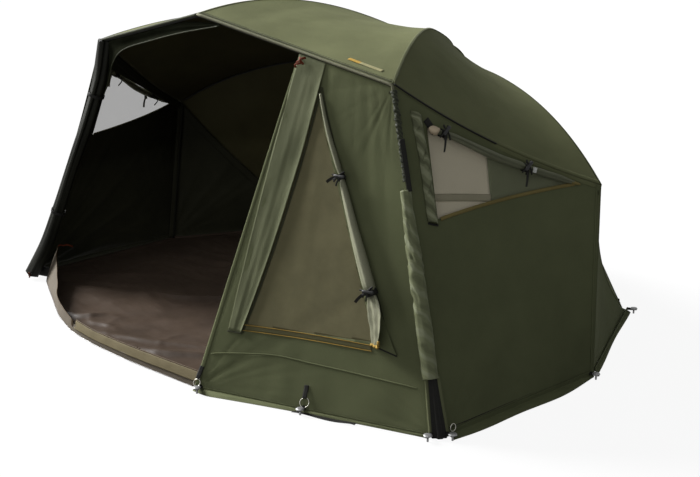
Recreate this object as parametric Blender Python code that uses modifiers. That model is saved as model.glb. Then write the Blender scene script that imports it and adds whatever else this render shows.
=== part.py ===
# Fishing brolly shelter: an eight-rib umbrella tipped back over a groundsheet, with side walls,
# a front infill panel, two telescopic storm poles and ground pegs.
# Metres. +Z is up, the open front faces -Y, and the ground is z = 0.
import math

import bmesh
import bpy
from mathutils import Matrix, Vector

# Clearances
GAP = 0.0003            # between solids that touch
EDGE_GAP = 0.0008       # between two cloth edges that are sewn on the real shelter
RIB_SEAT = 0.0008       # from a rib up to the cloth stretched over it
SLOT_PLAY = 0.0009      # on each side of a rib in its slot in the crown
ROLL_SEAT = 0.0012      # from a wall, whose cloth isn't quite flat, up to a roll that lies on it
STRIP_SEAT = 0.0010     # and up to the zip's strip
LOOP_SEAT = 0.0006      # and up to a peg's loop

# Cloth
CLOTH = 0.002           # roof and wall cloth, with its coating and seams
NET = 0.0012            # window net
SHEET = 0.003           # groundsheet
HEM_Z = 0.005           # height at which the walls' hems stop above the ground

# Umbrella frame
HUB = Vector((0, 0.78, 1.15))
SHAFT_DIP_DEG = 36.87   # how far the shaft points down, towards the front
RIB_RADIUS = 0.004
ROD_STOP = 0.033        # how far a rod stops short of the cloth's corner
ROOF_CELLS = (12, 6)    # along the ribs, and from rib to rib
TIP_FRONT = Vector((0, -0.88, 1.49))
TIP_CORNER = Vector((1.0, -0.72, 1.28))
TIP_SIDE = Vector((1.44, 0.09, 0.82))
TIP_REAR = Vector((1.10, 0.85, 0.012))
TIP_BACK = Vector((0, 1.27, 0.012))
BOW_FRONT = (0.36, 0.34)    # how much a rib bows: evenly, and towards its tip
BOW_CORNER = (0.64, 0.10)
BOW_SIDE = (0.32, 0.29)
BOW_REAR = (0.80, -0.50)
BOW_BACK = (0.50, 0.0)
BOW_UPRIGHT = 0.4       # share of the rib at which its bow has turned upright

# Crown, cap, post and runner, all turned about the shaft
CROWN_RADIUS = 0.050
CROWN_BACK = 0.018      # how far the crown reaches behind the hub point, along the shaft
CROWN_FRONT = 0.012
SLOT_FLOOR = 0.024      # radius of the slots' floor
RIB_PIVOT = 0.036       # radius of the circle of rib pivots
CAP_RADIUS = 0.100
CAP_RIM = 0.004
CAP_RISE = 0.014
POST_RADIUS = 0.009
POST_END = 0.520
RUNNER_RADIUS = 0.018
RUNNER_LENGTH = 0.030
RUNNER_OPEN = 0.200     # the runner's place along the post with the shelter up
RUNNER_SHUT = 0.480     # and with the umbrella closed
STRETCHER_RADIUS = 0.003
ROUND_END = ((0.98, 0.20), (0.80, 0.60), (0.45, 0.89))  # rises and sizes of a ball end, in radii
STRETCHER_PIVOT = 0.0250    # radius at which the stretchers end, round the runner

# Roof panels
ROOF_START = 0.022      # share of the rib line at which the cloth starts, under the cap
ROOF_SAG = 0.022        # how far a panel dips between its ribs
EAVE_SAG = 0.040        # how far the side eave dips
HEM_RADIUS = 0.006      # corded hem along the front eave
HEM_STOP = 0.009        # how far it stops short of the roof's corners

# Where the walls meet the ground
FOOT_CORNER = Vector((1.47, -0.93, HEM_Z))
FOOT_SIDE = Vector((1.50, 0.03, HEM_Z))
FOOT_REAR = Vector((1.13, 0.865, HEM_Z))
FOOT_PANEL = Vector((0.42, -1.29, HEM_Z))
PANEL_START = 0.55      # share of the front eave at which the infill panel starts
WALL_DRAW = 0.012       # how far a wall is drawn in between its edges

# Windows, as corners seen square on: (x, z) on the front panel, (y, z) on a side wall
FRONT_WINDOW = ((0.668, 1.215), (0.580, 0.290), (1.135, 0.310))
SIDE_WINDOW = ((-0.612, 1.085), (-0.675, 0.790), (-0.055, 0.838))
CUT_REACH = 0.60        # half the length of a window's cutter

# Rolled window covers, and the rolled door along the left pole
FRONT_ROLL = ((0.690, 1.190), (0.900, 0.810), (1.030, 0.560), (1.165, 0.330))
FRONT_ROLL_RADII = (0.009, 0.016, 0.020, 0.026)
SIDE_ROLL = ((-0.605, 1.118), (-0.430, 1.030), (-0.260, 0.940), (-0.110, 0.882))
SIDE_ROLL_RADII = (0.016, 0.018, 0.016, 0.010)
DOOR_ROLL_TOP_SHARE = 0.93  # shares of the corner's height
DOOR_ROLL_FOOT_SHARE = 0.03
DOOR_ROLL_RADIUS = 0.028    # at its foot
DOOR_ROLL_TAPER_SHARE = 0.45    # share of that radius which it loses towards its top

# Strip that covers the infill panel's zip, in shares of the panel
ZIP_FOOT_SHARE = 0.200
ZIP_TOP_SHARE = 0.960
ZIP_EDGE_FOOT_SHARES = (0.090, 0.150)
ZIP_EDGE_TOP_SHARES = (0.060, 0.220)

# Sleeve over the right front corner, in shares of the corner's height
SLEEVE_FOOT_SHARE = 0.170
SLEEVE_TOP_SHARE = 0.700
SLEEVE_RADIUS = 0.026
SLEEVE_SWEEP_DEG = 113.5

# Storm poles
POLE_RADIUS = 0.011
POLE_WALL = 0.0015
POLE_SEAT_SHARE = 0.600     # share of the corner rib's last straight over the pole's hinge
POLE_FOOT_IN = 0.045    # how far the pole's foot stands inside the corner
UPPER_LENGTH = 0.850
LAP = 0.520             # length of the lower tube that is inside the upper one
SPIKE = 0.030           # pointed end of the lower tube
SPIKE_TIP = 0.0022      # its end's radius
COLLAR_RADIUS = 0.016
COLLAR_LENGTH = 0.032
LEVER_LENGTH = 0.046
LEVER_WIDTH = 0.012
LEVER_THICK = 0.007
LEVER_EDGE = 0.003      # rounding of its edges
LEVER_PLAY = 0.0008     # from the collar out to the lever, whose round end turns past it

# Groundsheet: the front edge's half-way points, and its standing lip
SHEET_FRONT = ((-1.195, -0.970), (-0.800, -1.175), (-0.540, -1.250),
               (-0.290, -1.280), (0.030, -1.275), (0.365, -1.270))
SHEET_BACK_Y = 1.19
CORNER_INSET = 0.030    # of the groundsheet's front corners, inside the walls
SIDE_INSET = 0.010      # and of its other corners
LIP_HEIGHT = 0.075
LIP_LEAN = 0.010
LIP_THICK = 0.004
LIP_START = 0.33        # share of the front edge's first straight at which the lip starts

# Pegs
PEG_RADIUS = 0.004
PEG_HEAD_RADIUS = 0.013
PEG_HEIGHT = 0.030
PEG_HEAD = 0.007
LOOP_LENGTH = 0.034     # webbing loop, from the wall's hem to the peg
LOOP_WIDTH = 0.018
LOOP_THICK = 0.0016
LOOP_Z = 0.012
PEG_FROM_CORNER = 0.03  # share of a wall's foot between its corner and its peg

AXIS = Vector((0, -math.cos(math.radians(SHAFT_DIP_DEG)), -math.sin(math.radians(SHAFT_DIP_DEG))))
UP = Vector((0, 0, 1))

for old in list(bpy.data.objects):
    bpy.data.objects.remove(old, do_unlink=True)
parts = bpy.data.collections.new("fishing_brolly_shelter")
cutters = bpy.data.collections.new("cutters")
bpy.context.scene.collection.children.link(parts)
bpy.context.scene.collection.children.link(cutters)


def material(name, colour, roughness, metallic=0.0):
    made = bpy.data.materials.new(name)
    made.use_nodes = True
    shader = made.node_tree.nodes["Principled BSDF"]
    shader.inputs["Base Color"].default_value = (*colour, 1)
    shader.inputs["Roughness"].default_value = roughness
    shader.inputs["Metallic"].default_value = metallic
    return made


ROOF_GREEN = ((0.045, 0.050, 0.022), 0.75)
WALL_GREEN = ((0.036, 0.040, 0.019), 0.80)
NET_BROWN = ((0.090, 0.075, 0.040), 0.90)
SHEET_BROWN = ((0.045, 0.030, 0.022), 0.35)
KHAKI = ((0.170, 0.140, 0.060), 0.80)
GLASSFIBRE = ((0.012, 0.012, 0.012), 0.40)
TUBE_BLACK = ((0.015, 0.015, 0.016), 0.35, 0.8)
MOULDED_BLACK = ((0.010, 0.010, 0.010), 0.55)
PEG_GREY = ((0.250, 0.250, 0.240), 0.45, 0.9)


def finish(obj, look, smooth_deg=None):
    """Puts the object in the model with a material of its own."""
    if smooth_deg is not None:
        obj.data.shade_smooth()
        obj.data.set_sharp_from_angle(angle=math.radians(smooth_deg))
    obj.data.materials.append(material(obj.name, *look))
    parts.objects.link(obj)
    return obj


def frame_matrix(origin, axis, side):
    """A place whose Z runs along axis and whose X leans towards side."""
    z = axis.normalized()
    y = z.cross(side).normalized()
    x = y.cross(z)
    return Matrix.Translation(origin) @ Matrix((x, y, z)).transposed().to_4x4()


def turned(name, profile, place, look, steps=24):
    """A profile in X and Z, run down its outer side, turned about the place's Z."""
    mesh = bpy.data.meshes.new(name)
    shape = bmesh.new()
    points = [shape.verts.new((r, 0, z)) for r, z in profile]
    closed = profile[0][0] > 0
    ends = points + points[:1] if closed else points
    for a, b in zip(ends, ends[1:]):
        shape.edges.new((a, b))
    shape.to_mesh(mesh)
    shape.free()
    obj = bpy.data.objects.new(name, mesh)
    obj.matrix_world = place
    spin = obj.modifiers.new("turn", "SCREW")
    spin.steps = spin.render_steps = steps
    spin.use_merge_vertices = True
    spin.merge_threshold = 0.00001
    return finish(obj, look)


def tube(name, points, radius, look, origin, radii=None, resolution=2):
    """A round rod or roll along a line of points."""
    line = bpy.data.curves.new(name, "CURVE")
    line.dimensions = "3D"
    line.bevel_depth = radius
    line.bevel_resolution = resolution
    line.use_fill_caps = True
    spline = line.splines.new("POLY")
    spline.points.add(len(points) - 1)
    for i, point in enumerate(points):
        spline.points[i].co = (*(point - origin), 1)
        spline.points[i].radius = radii[i] / radius if radii else 1
    obj = bpy.data.objects.new(name, line)
    obj.location = origin
    line.materials.append(material(name, *look))
    parts.objects.link(obj)
    return obj


def sheet(name, surface, cells, outward, look, thick=CLOTH):
    """Cloth whose inner face follows surface(u, v), with its thickness on the outward side."""
    mesh = bpy.data.meshes.new(name)
    grid = bmesh.new()
    bmesh.ops.create_grid(grid, x_segments=cells[0], y_segments=cells[1], size=0.5)
    for vert in grid.verts:
        vert.co = surface(vert.co.x + 0.5, vert.co.y + 0.5)
    grid.normal_update()
    facing = sum((face.normal * face.calc_area() for face in grid.faces), Vector())
    if facing.dot(outward) < 0:
        bmesh.ops.reverse_faces(grid, faces=grid.faces)
    grid.to_mesh(mesh)
    grid.free()
    obj = bpy.data.objects.new(name, mesh)
    skin = obj.modifiers.new("cloth", "SOLIDIFY")
    skin.thickness = thick
    skin.offset = 1
    skin.use_even_offset = True
    return finish(obj, look, 50)


def prism(name, corners, centre, along):
    """A cutter: corners in the two other directions, drawn out along X or Y about centre."""
    mesh = bpy.data.meshes.new(name)
    solid = bmesh.new()
    start = centre - along * CUT_REACH
    if along.y:
        points = [Vector((a, start.y, b)) for a, b in corners]
    else:
        points = [Vector((start.x, a, b)) for a, b in corners]
    first = solid.faces.new([solid.verts.new(p) for p in points])
    drawn = bmesh.ops.extrude_face_region(solid, geom=[first])
    moved = [item for item in drawn["geom"] if isinstance(item, bmesh.types.BMVert)]
    bmesh.ops.translate(solid, verts=moved, vec=along * 2 * CUT_REACH)
    bmesh.ops.recalc_face_normals(solid, faces=solid.faces)
    solid.to_mesh(mesh)
    solid.free()
    obj = bpy.data.objects.new(name, mesh)
    obj.hide_render = True
    obj.display_type = "WIRE"
    cutters.objects.link(obj)
    return obj


def cut(obj, cutter, operation="DIFFERENCE"):
    step = obj.modifiers.new(cutter.name, "BOOLEAN")
    step.object = cutter
    step.operation = operation


def inset(corners, distance):
    """The triangle with each side moved in by distance."""
    count = len(corners)
    centre = Vector((sum(c[0] for c in corners) / count, sum(c[1] for c in corners) / count))
    lines = []
    for i in range(count):
        a, b = Vector(corners[i]), Vector(corners[(i + 1) % count])
        normal = Vector((a.y - b.y, b.x - a.x)).normalized()
        if normal.dot(centre - a) < 0:
            normal.negate()
        lines.append((a + normal * distance, b - a))
    found = []
    for i in range(count):
        (p, d), (q, e) = lines[i - 1], lines[i]
        share = ((q - p).x * e.y - (q - p).y * e.x) / (d.x * e.y - d.y * e.x)
        found.append(tuple(p + d * share))
    return found


def mirrored(point):
    return Vector((-point.x, point.y, point.z))


def on_side(surface, side):
    return surface if side > 0 else (lambda u, v: mirrored(surface(u, v)))


def smooth_step(x):
    x = min(max(x, 0.0), 1.0)
    return x * x * (3 - 2 * x)


# Ribs
class Rib:
    """One rib's line, from its pivot at the crown to the cloth's corner."""

    def __init__(self, name, tip, bow):
        self.name, self.tip, self.bow = name, tip, bow
        self.chord = (tip - HUB).normalized()
        self.out = (self.chord - AXIS * self.chord.dot(AXIS)).normalized()
        self.pivot = HUB + self.out * RIB_PIVOT
        self.run = tip - self.pivot
        self.hinge = self.run.cross(AXIS).normalized()
        self.turn = self.run.angle(AXIS)
        along = self.run.normalized()
        self.away = (-AXIS - along * (-AXIS).dot(along)).normalized()
        self.upright = (UP - along * UP.dot(along)).normalized()

    def point(self, t):
        even, late = self.bow
        rise = t * (1 - t) * (even + late * t)
        lean = smooth_step(t / BOW_UPRIGHT)
        return self.pivot + self.run * t + (self.away.lerp(self.upright, lean)) * rise

    def heading(self, t):
        return (self.point(t + 0.001) - self.point(t - 0.001)).normalized()

    def shut(self, point):
        """Where a point on the rib goes when the umbrella is closed."""
        return self.pivot + Matrix.Rotation(self.turn, 3, self.hinge) @ (point - self.pivot)


front = Rib("front", TIP_FRONT, BOW_FRONT)
RING = [front]
for label, tip, bow in (("front_right", TIP_CORNER, BOW_CORNER), ("side_right", TIP_SIDE, BOW_SIDE),
                        ("rear_right", TIP_REAR, BOW_REAR)):
    RING.append(Rib(label, tip, bow))
RING.append(Rib("rear", TIP_BACK, BOW_BACK))
for rib in RING[3:0:-1]:
    RING.append(Rib(rib.name.replace("right", "left"), mirrored(rib.tip), rib.bow))


def seat_normal(index, t):
    """The direction in which the cloth lifts off a rib: midway between its two panels."""
    rib = RING[index % len(RING)]
    here, heading = rib.point(t), rib.heading(t)
    total = Vector()
    for step in (-1, 1):
        other = RING[(index + step) % len(RING)].point(t) - here
        normal = heading.cross(other).normalized()
        total += normal if normal.dot(-AXIS) > 0 else -normal
    return (total - heading * total.dot(heading)).normalized()


def seam(index, t):
    """The line on which two roof panels meet, just above a rib."""
    rib = RING[index % len(RING)]
    return rib.point(t) + seat_normal(index, t) * (RIB_RADIUS + RIB_SEAT)


def roof_surface(index, sag):
    """The panel between rib index and the next one round."""
    def surface(u, v):
        t = roof_station(u)
        a, b = seam(index, t), seam(index + 1, t)
        side = (b - a).normalized() * EDGE_GAP / 2
        point = (a + side).lerp(b - side, v)
        normal = (seat_normal(index, t) + seat_normal(index + 1, t)).normalized()
        return point - normal * (4 * v * (1 - v)) * sag(u)
    return surface


def crown_place(distance=0.0):
    return frame_matrix(HUB + AXIS * distance, -AXIS, Vector((1, 0, 0)))


def make_crown():
    bore = POST_RADIUS + GAP
    crown = turned("crown", ((bore, CROWN_BACK), (CROWN_RADIUS, CROWN_BACK), (CROWN_RADIUS, -CROWN_FRONT),
                             (bore, -CROWN_FRONT)), crown_place(), MOULDED_BLACK, 32)
    for rib in RING:
        mesh = bpy.data.meshes.new("slot_" + rib.name)
        box = bmesh.new()
        bmesh.ops.create_cube(box, size=1)
        reach = CROWN_RADIUS - SLOT_FLOOR + 0.01
        size = Vector((reach, 2 * (RIB_RADIUS + SLOT_PLAY), CROWN_BACK + CROWN_FRONT + 0.01))
        bmesh.ops.scale(box, vec=size, verts=box.verts)
        bmesh.ops.translate(box, vec=(SLOT_FLOOR + reach / 2, 0, 0), verts=box.verts)
        box.to_mesh(mesh)
        box.free()
        slot = bpy.data.objects.new("slot_" + rib.name, mesh)
        slot.matrix_world = frame_matrix(HUB, -AXIS, rib.out)
        slot.hide_render = True
        slot.display_type = "WIRE"
        cutters.objects.link(slot)
        cut(crown, slot)
    rise, rim = CROWN_BACK + GAP, CAP_RIM
    turned("crown_cap", ((0, rise + rim + CAP_RISE), (CAP_RADIUS * 0.5, rise + rim + CAP_RISE * 0.75),
                         (CAP_RADIUS * 0.85, rise + rim + CAP_RISE * 0.3), (CAP_RADIUS, rise + rim * 0.5),
                         (CAP_RADIUS, rise), (0, rise)), crown_place(), ROOF_GREEN, 32)
    turned("centre_post", ((0, CROWN_BACK), (POST_RADIUS, CROWN_BACK), (POST_RADIUS, -POST_END),
                           (0, -POST_END)), crown_place(), TUBE_BLACK)
    half = RUNNER_LENGTH / 2
    turned("runner", ((bore, half), (RUNNER_RADIUS, half), (RUNNER_RADIUS, -half), (bore, -half)),
           crown_place(RUNNER_OPEN), MOULDED_BLACK)


def roof_station(u):
    return ROOF_START + (1 - ROOF_START) * u


def rod_points(rib):
    """The rod bends where the rows of the cloth over it do, so the two stay parallel."""
    rows = [roof_station(i / ROOF_CELLS[0]) for i in range(ROOF_CELLS[0])]
    points = [rib.point(t) for t in [0] + rows]
    last = rib.point(1) - points[-1]
    return points + [rib.point(1) - last.normalized() * ROD_STOP]


def make_ribs():
    for rib in RING:
        tube("rib_" + rib.name, rod_points(rib), RIB_RADIUS, GLASSFIBRE, rib.pivot)


def runner_end(rib, place):
    return HUB + AXIS * place + rib.out * STRETCHER_PIVOT


def bracket(index, t):
    """A stretcher's outer pivot, on the inner side of the rod, which is straight between its rows."""
    rib = RING[index]
    step = (1 - ROOF_START) / ROOF_CELLS[0]
    row = ROOF_START + step * math.floor((t - ROOF_START) / step)
    start, end = rib.point(row), rib.point(row + step)
    heading = (end - start).normalized()
    inner = (AXIS - heading * AXIS.dot(heading)).normalized()
    return start.lerp(end, (t - row) / step) + inner * (RIB_RADIUS + STRETCHER_RADIUS + GAP)


def bracket_share(index):
    """The place on the rib from which one length reaches the runner both open and shut."""
    rib = RING[index]
    low, high = 0.03, 0.6
    for _ in range(40):
        middle = (low + high) / 2
        end = bracket(index, middle)
        opened = (end - runner_end(rib, RUNNER_OPEN)).length
        closed = (rib.shut(end) - runner_end(rib, RUNNER_SHUT)).length
        if closed > opened:
            low = middle
        else:
            high = middle
    return (low + high) / 2


def make_stretchers():
    for index, rib in enumerate(RING):
        outer = bracket(index, bracket_share(index))
        inner = runner_end(rib, RUNNER_OPEN)
        along = (outer - inner).normalized() * STRETCHER_RADIUS
        points = [outer + along * rise for rise, _ in ROUND_END] + [outer, inner]
        radii = [STRETCHER_RADIUS * size for _, size in ROUND_END] + [STRETCHER_RADIUS] * 2
        tube("stretcher_" + rib.name, points, STRETCHER_RADIUS, TUBE_BLACK, outer, radii)


PANELS = ("front_right", "side_right", "rear_right", "back_right", "back_left", "rear_left", "side_left",
          "front_left")


def panel_sag(name):
    if name.startswith("side"):
        return lambda u: ROOF_SAG * math.sin(math.pi * min(u, 0.5)) + (EAVE_SAG - ROOF_SAG) * smooth_step(u)
    if name.startswith("front"):
        return lambda u: ROOF_SAG * math.sin(math.pi * u)
    return lambda u: ROOF_SAG * math.sin(math.pi * min(u, 0.5))


def make_roof():
    for index, name in enumerate(PANELS):
        sheet("roof_" + name, roof_surface(index, panel_sag(name)), ROOF_CELLS, -AXIS, ROOF_GREEN)


def eave(index, v):
    return roof_surface(index, panel_sag(PANELS[index]))(1, v)


def wall_between(top, bottom, outward):
    """A wall from bottom(v) to top(v), drawn in a little by its tension."""
    def surface(u, v):
        draw = 4 * u * (1 - u) * 4 * v * (1 - v) * WALL_DRAW
        return bottom(v).lerp(top(v), u) - outward * draw
    return surface


def span(a, b, trim=EDGE_GAP / 2):
    """The straight line from a to b, kept clear of both ends."""
    side = (b - a).normalized() * trim
    return lambda v: (a + side).lerp(b - side, v)


def side_wall():
    return wall_between(lambda v: eave(1, v) - UP * EDGE_GAP, span(FOOT_CORNER, FOOT_SIDE), Vector((1, 0, 0)))


def rear_wall():
    out = Vector((0.8, 0.6, 0))
    return wall_between(lambda v: eave(2, v) - UP * EDGE_GAP, span(FOOT_SIDE, FOOT_REAR), out)


def front_wall():
    out = Vector((0.3, -0.95, 0))

    def top(v):
        return eave(0, PANEL_START + (1 - PANEL_START) * v) - UP * (HEM_RADIUS * 0.75 + EDGE_GAP)
    return wall_between(top, span(FOOT_PANEL, FOOT_CORNER), out)


def make_walls():
    for side, label in ((1, "right"), (-1, "left")):
        out = Vector((side, 0, 0))
        wall = sheet("side_wall_" + label, on_side(side_wall(), side), (8, 8), out, WALL_GREEN)
        net = sheet("side_net_" + label, on_side(side_wall(), side), (8, 8), out, NET_BROWN, NET)
        middle = mirrored(TIP_SIDE) if side < 0 else TIP_SIDE
        cut(wall, prism("side_window_" + label, SIDE_WINDOW, middle, Vector((1, 0, 0))))
        cut(net, prism("side_pane_" + label, inset(SIDE_WINDOW, GAP), middle, Vector((1, 0, 0))), "INTERSECT")
        sheet("rear_wall_" + label, on_side(rear_wall(), side), (6, 5), out, WALL_GREEN)
    out = Vector((0.3, -0.95, 0))
    wall = sheet("front_panel", front_wall(), (8, 8), out, WALL_GREEN)
    net = sheet("front_net", front_wall(), (8, 8), out, NET_BROWN, NET)
    cut(wall, prism("front_window", FRONT_WINDOW, TIP_CORNER, Vector((0, 1, 0))))
    cut(net, prism("front_pane", inset(FRONT_WINDOW, GAP), TIP_CORNER, Vector((0, 1, 0))), "INTERSECT")


def wall_point(surface, u, v, lift):
    """A point over a wall: its place on the wall's inner face, and lift metres out from there."""
    here = surface(u, v)
    across = surface(u, v + 0.01) - surface(u, v - 0.01)
    rise = surface(u + 0.01, v) - surface(u - 0.01, v)
    return here + across.cross(rise).normalized() * lift


def over_wall(surface, a, b, axis):
    """The wall's u and v where its two coordinates besides axis are a and b."""
    u, v = 0.5, 0.5
    for _ in range(25):
        here = surface(u, v)
        du = (surface(u + 0.01, v) - here) / 0.01
        dv = (surface(u, v + 0.01) - here) / 0.01
        miss = (a - here.x if axis == 1 else a - here.y, b - here.z)
        row = (du.x, dv.x) if axis == 1 else (du.y, dv.y)
        size = row[0] * dv.z - row[1] * du.z
        u += (miss[0] * dv.z - row[1] * miss[1]) / size
        v += (row[0] * miss[1] - miss[0] * du.z) / size
    return u, v


def roll_line(surface, places, radii, axis, count=10):
    """Points and radii of a rolled cover that lies on a wall along the given places."""
    points, sizes = [], []
    for i in range(count):
        share = i / (count - 1) * (len(places) - 1)
        k = min(int(share), len(places) - 2)
        f = share - k
        a = places[k][0] * (1 - f) + places[k + 1][0] * f
        b = places[k][1] * (1 - f) + places[k + 1][1] * f
        size = radii[k] * (1 - f) + radii[k + 1] * f
        u, v = over_wall(surface, a, b, axis)
        points.append(wall_point(surface, u, v, CLOTH + size + ROLL_SEAT))
        sizes.append(size)
    return points, sizes


def make_rolls():
    points, sizes = roll_line(front_wall(), FRONT_ROLL, FRONT_ROLL_RADII, 1)
    tube("front_window_roll", points, FRONT_ROLL_RADII[-1], WALL_GREEN, points[0], sizes)
    points, sizes = roll_line(side_wall(), SIDE_ROLL, SIDE_ROLL_RADII, 0)
    tube("side_window_roll_right", points, SIDE_ROLL_RADII[1], WALL_GREEN, points[0], sizes)
    left = [mirrored(p) for p in points]
    tube("side_window_roll_left", left, SIDE_ROLL_RADII[1], WALL_GREEN, left[0], sizes)
    top = mirrored(corner_line(DOOR_ROLL_TOP_SHARE))
    foot = mirrored(corner_line(DOOR_ROLL_FOOT_SHARE))
    along = (top - foot).normalized()
    off = (Vector((0, -1, 0)) + along * along.y).normalized()
    sizes = [DOOR_ROLL_RADIUS * (1 - DOOR_ROLL_TAPER_SHARE * i / 8) for i in range(9)]
    points = [foot.lerp(top, i / 8) + off * (size + GAP) for i, size in enumerate(sizes)]
    tube("door_roll_left", points, DOOR_ROLL_RADIUS, WALL_GREEN, points[0], sizes, 4)


def make_zip_strip():
    panel = front_wall()

    def strip(u, v):
        height = ZIP_FOOT_SHARE + (ZIP_TOP_SHARE - ZIP_FOOT_SHARE) * u
        low, high = (foot + (top - foot) * u for foot, top in zip(ZIP_EDGE_FOOT_SHARES, ZIP_EDGE_TOP_SHARES))
        return wall_point(panel, height, low + (high - low) * v, CLOTH + STRIP_SEAT)
    sheet("zip_strip", strip, (6, 1), Vector((0.3, -0.95, 0)), WALL_GREEN)


def corner_line(share):
    """The front corner, where the side wall and the infill panel meet."""
    return FOOT_CORNER.lerp(eave(1, 0), share)


def make_lip():
    """The corded hem along both halves of the front eave."""
    half = []
    reach = 1 - HEM_STOP / (eave(0, 1) - eave(0, 0)).length
    for i in range(7):
        v = reach * i / 6
        edge, inside = eave(0, v), roof_surface(0, panel_sag("front"))(0.98, v)
        along = (eave(0, v + 0.01) - edge).normalized()
        out = edge - inside
        out = (out - along * out.dot(along)).normalized()
        half.append(edge + out * (HEM_RADIUS + EDGE_GAP) + out.cross(along) * CLOTH / 2)
    half[0].x = 0
    points = [mirrored(point) for point in half[:0:-1]] + half
    tube("front_lip", points, HEM_RADIUS, ROOF_GREEN, half[0])


def make_sleeve():
    """The cloth sleeve that is folded round the right front corner, over the wall and the panel."""
    out = (corner_line(0.5) - side_wall()(0.5, 0.3)).normalized()
    out += (corner_line(0.5) - front_wall()(0.5, 0.7)).normalized()
    along = (corner_line(1) - corner_line(0)).normalized()
    out = (out - along * out.dot(along)).normalized()
    across = along.cross(out)

    def wrap(u, v):
        turn = math.radians(SLEEVE_SWEEP_DEG) * (2 * v - 1)
        centre = corner_line(SLEEVE_FOOT_SHARE + (SLEEVE_TOP_SHARE - SLEEVE_FOOT_SHARE) * u)
        return centre + (out * math.cos(turn) + across * math.sin(turn)) * SLEEVE_RADIUS
    sheet("corner_sleeve", wrap, (6, 10), out, WALL_GREEN)


def pole_ends(side):
    """The pole's hinge, under the corner rib so that the pole can fold back along it, and its foot."""
    rod = rod_points(RING[1] if side > 0 else RING[7])
    head = rod[-2].lerp(rod[-1], POLE_SEAT_SHARE)
    inward = Vector((-side, 1, 0)).normalized() * POLE_FOOT_IN
    foot = Vector((side * FOOT_CORNER.x, FOOT_CORNER.y, SHEET + SPIKE_TIP / 2 + GAP)) + inward
    lean = (foot - head).angle(rod[-1] - rod[-2])
    drop = (RIB_RADIUS + POLE_RADIUS + GAP) / math.sin(lean)
    return head + (foot - head).normalized() * drop, foot


def make_poles():
    for side, label in ((1, "right"), (-1, "left")):
        seat, foot = pole_ends(side)
        length = (seat - foot).length
        place = frame_matrix(seat, seat - foot, Vector((-side, 1, 0)))
        dome = [(POLE_RADIUS * size, POLE_RADIUS * rise) for rise, size in ROUND_END]
        bore = POLE_RADIUS - POLE_WALL
        turned("pole_upper_" + label,
               ((0, POLE_RADIUS), *dome, (POLE_RADIUS, 0), (POLE_RADIUS, -UPPER_LENGTH),
                (bore, -UPPER_LENGTH), (bore, -POLE_WALL), (0, -POLE_WALL)),
               place, TUBE_BLACK, 16)
        rod = bore - GAP
        top = -UPPER_LENGTH + LAP
        turned("pole_lower_" + label,
               ((0, top), (rod, top), (rod, -length + SPIKE), (SPIKE_TIP, -length), (0, -length)),
               place, TUBE_BLACK, 16)
        mouth = POLE_RADIUS + GAP
        low = -UPPER_LENGTH + EDGE_GAP
        turned("pole_collar_" + label,
               ((mouth, low + COLLAR_LENGTH), (COLLAR_RADIUS, low + COLLAR_LENGTH), (COLLAR_RADIUS, low),
                (mouth, low)), place, MOULDED_BLACK, 16)
        mesh = bpy.data.meshes.new("pole_lever_" + label)
        box = bmesh.new()
        bmesh.ops.create_cube(box, size=1)
        bmesh.ops.scale(box, vec=(LEVER_THICK, LEVER_WIDTH, LEVER_LENGTH), verts=box.verts)
        bmesh.ops.translate(box, vec=(0, 0, -LEVER_LENGTH / 2 + LEVER_THICK / 2), verts=box.verts)
        box.to_mesh(mesh)
        box.free()
        lever = bpy.data.objects.new("pole_lever_" + label, mesh)
        out = COLLAR_RADIUS + LEVER_THICK / 2 + LEVER_PLAY
        lever.matrix_world = place @ Matrix.Translation((out, 0, low + COLLAR_LENGTH - LEVER_THICK / 2))
        edges = lever.modifiers.new("rounding", "BEVEL")
        edges.width = LEVER_EDGE
        edges.segments = 2
        finish(lever, MOULDED_BLACK)


def front_edge():
    """The groundsheet's front edge, from the left corner to the right one."""
    left = (-FOOT_CORNER.x + CORNER_INSET, FOOT_CORNER.y + CORNER_INSET)
    right = (FOOT_CORNER.x - CORNER_INSET, FOOT_CORNER.y + CORNER_INSET)
    return [left, *SHEET_FRONT, right]


def make_groundsheet():
    outline = front_edge()
    side = (FOOT_SIDE.x - SIDE_INSET, FOOT_SIDE.y)
    rear = (FOOT_REAR.x - 2 * SIDE_INSET, FOOT_REAR.y - 2 * SIDE_INSET)
    outline += [side, rear, (0, SHEET_BACK_Y), (-rear[0], rear[1]), (-side[0], side[1])]
    flat = bpy.data.curves.new("groundsheet", "CURVE")
    flat.dimensions = "2D"
    flat.fill_mode = "BOTH"
    flat.extrude = SHEET / 2
    spline = flat.splines.new("POLY")
    spline.points.add(len(outline) - 1)
    for point, (x, y) in zip(spline.points, outline):
        point.co = (x, y, 0, 1)
    spline.use_cyclic_u = True
    obj = bpy.data.objects.new("groundsheet", flat)
    obj.location.z = SHEET / 2
    flat.materials.append(material("groundsheet", *SHEET_BROWN))
    parts.objects.link(obj)

    edge = [Vector((x, y, SHEET + EDGE_GAP)) for x, y in [front_edge()[0], *SHEET_FRONT]]
    edge[0] = edge[0].lerp(edge[1], LIP_START)

    def lip(u, v):
        share = v * (len(edge) - 1)
        k = min(int(share), len(edge) - 2)
        foot = edge[k].lerp(edge[k + 1], share - k)
        return foot + Vector((0, LIP_THICK - LIP_LEAN * u * u, LIP_HEIGHT * u))
    sheet("groundsheet_lip", lip, (2, 2 * (len(edge) - 1)), Vector((0, -1, 0)), KHAKI, LIP_THICK)


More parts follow.
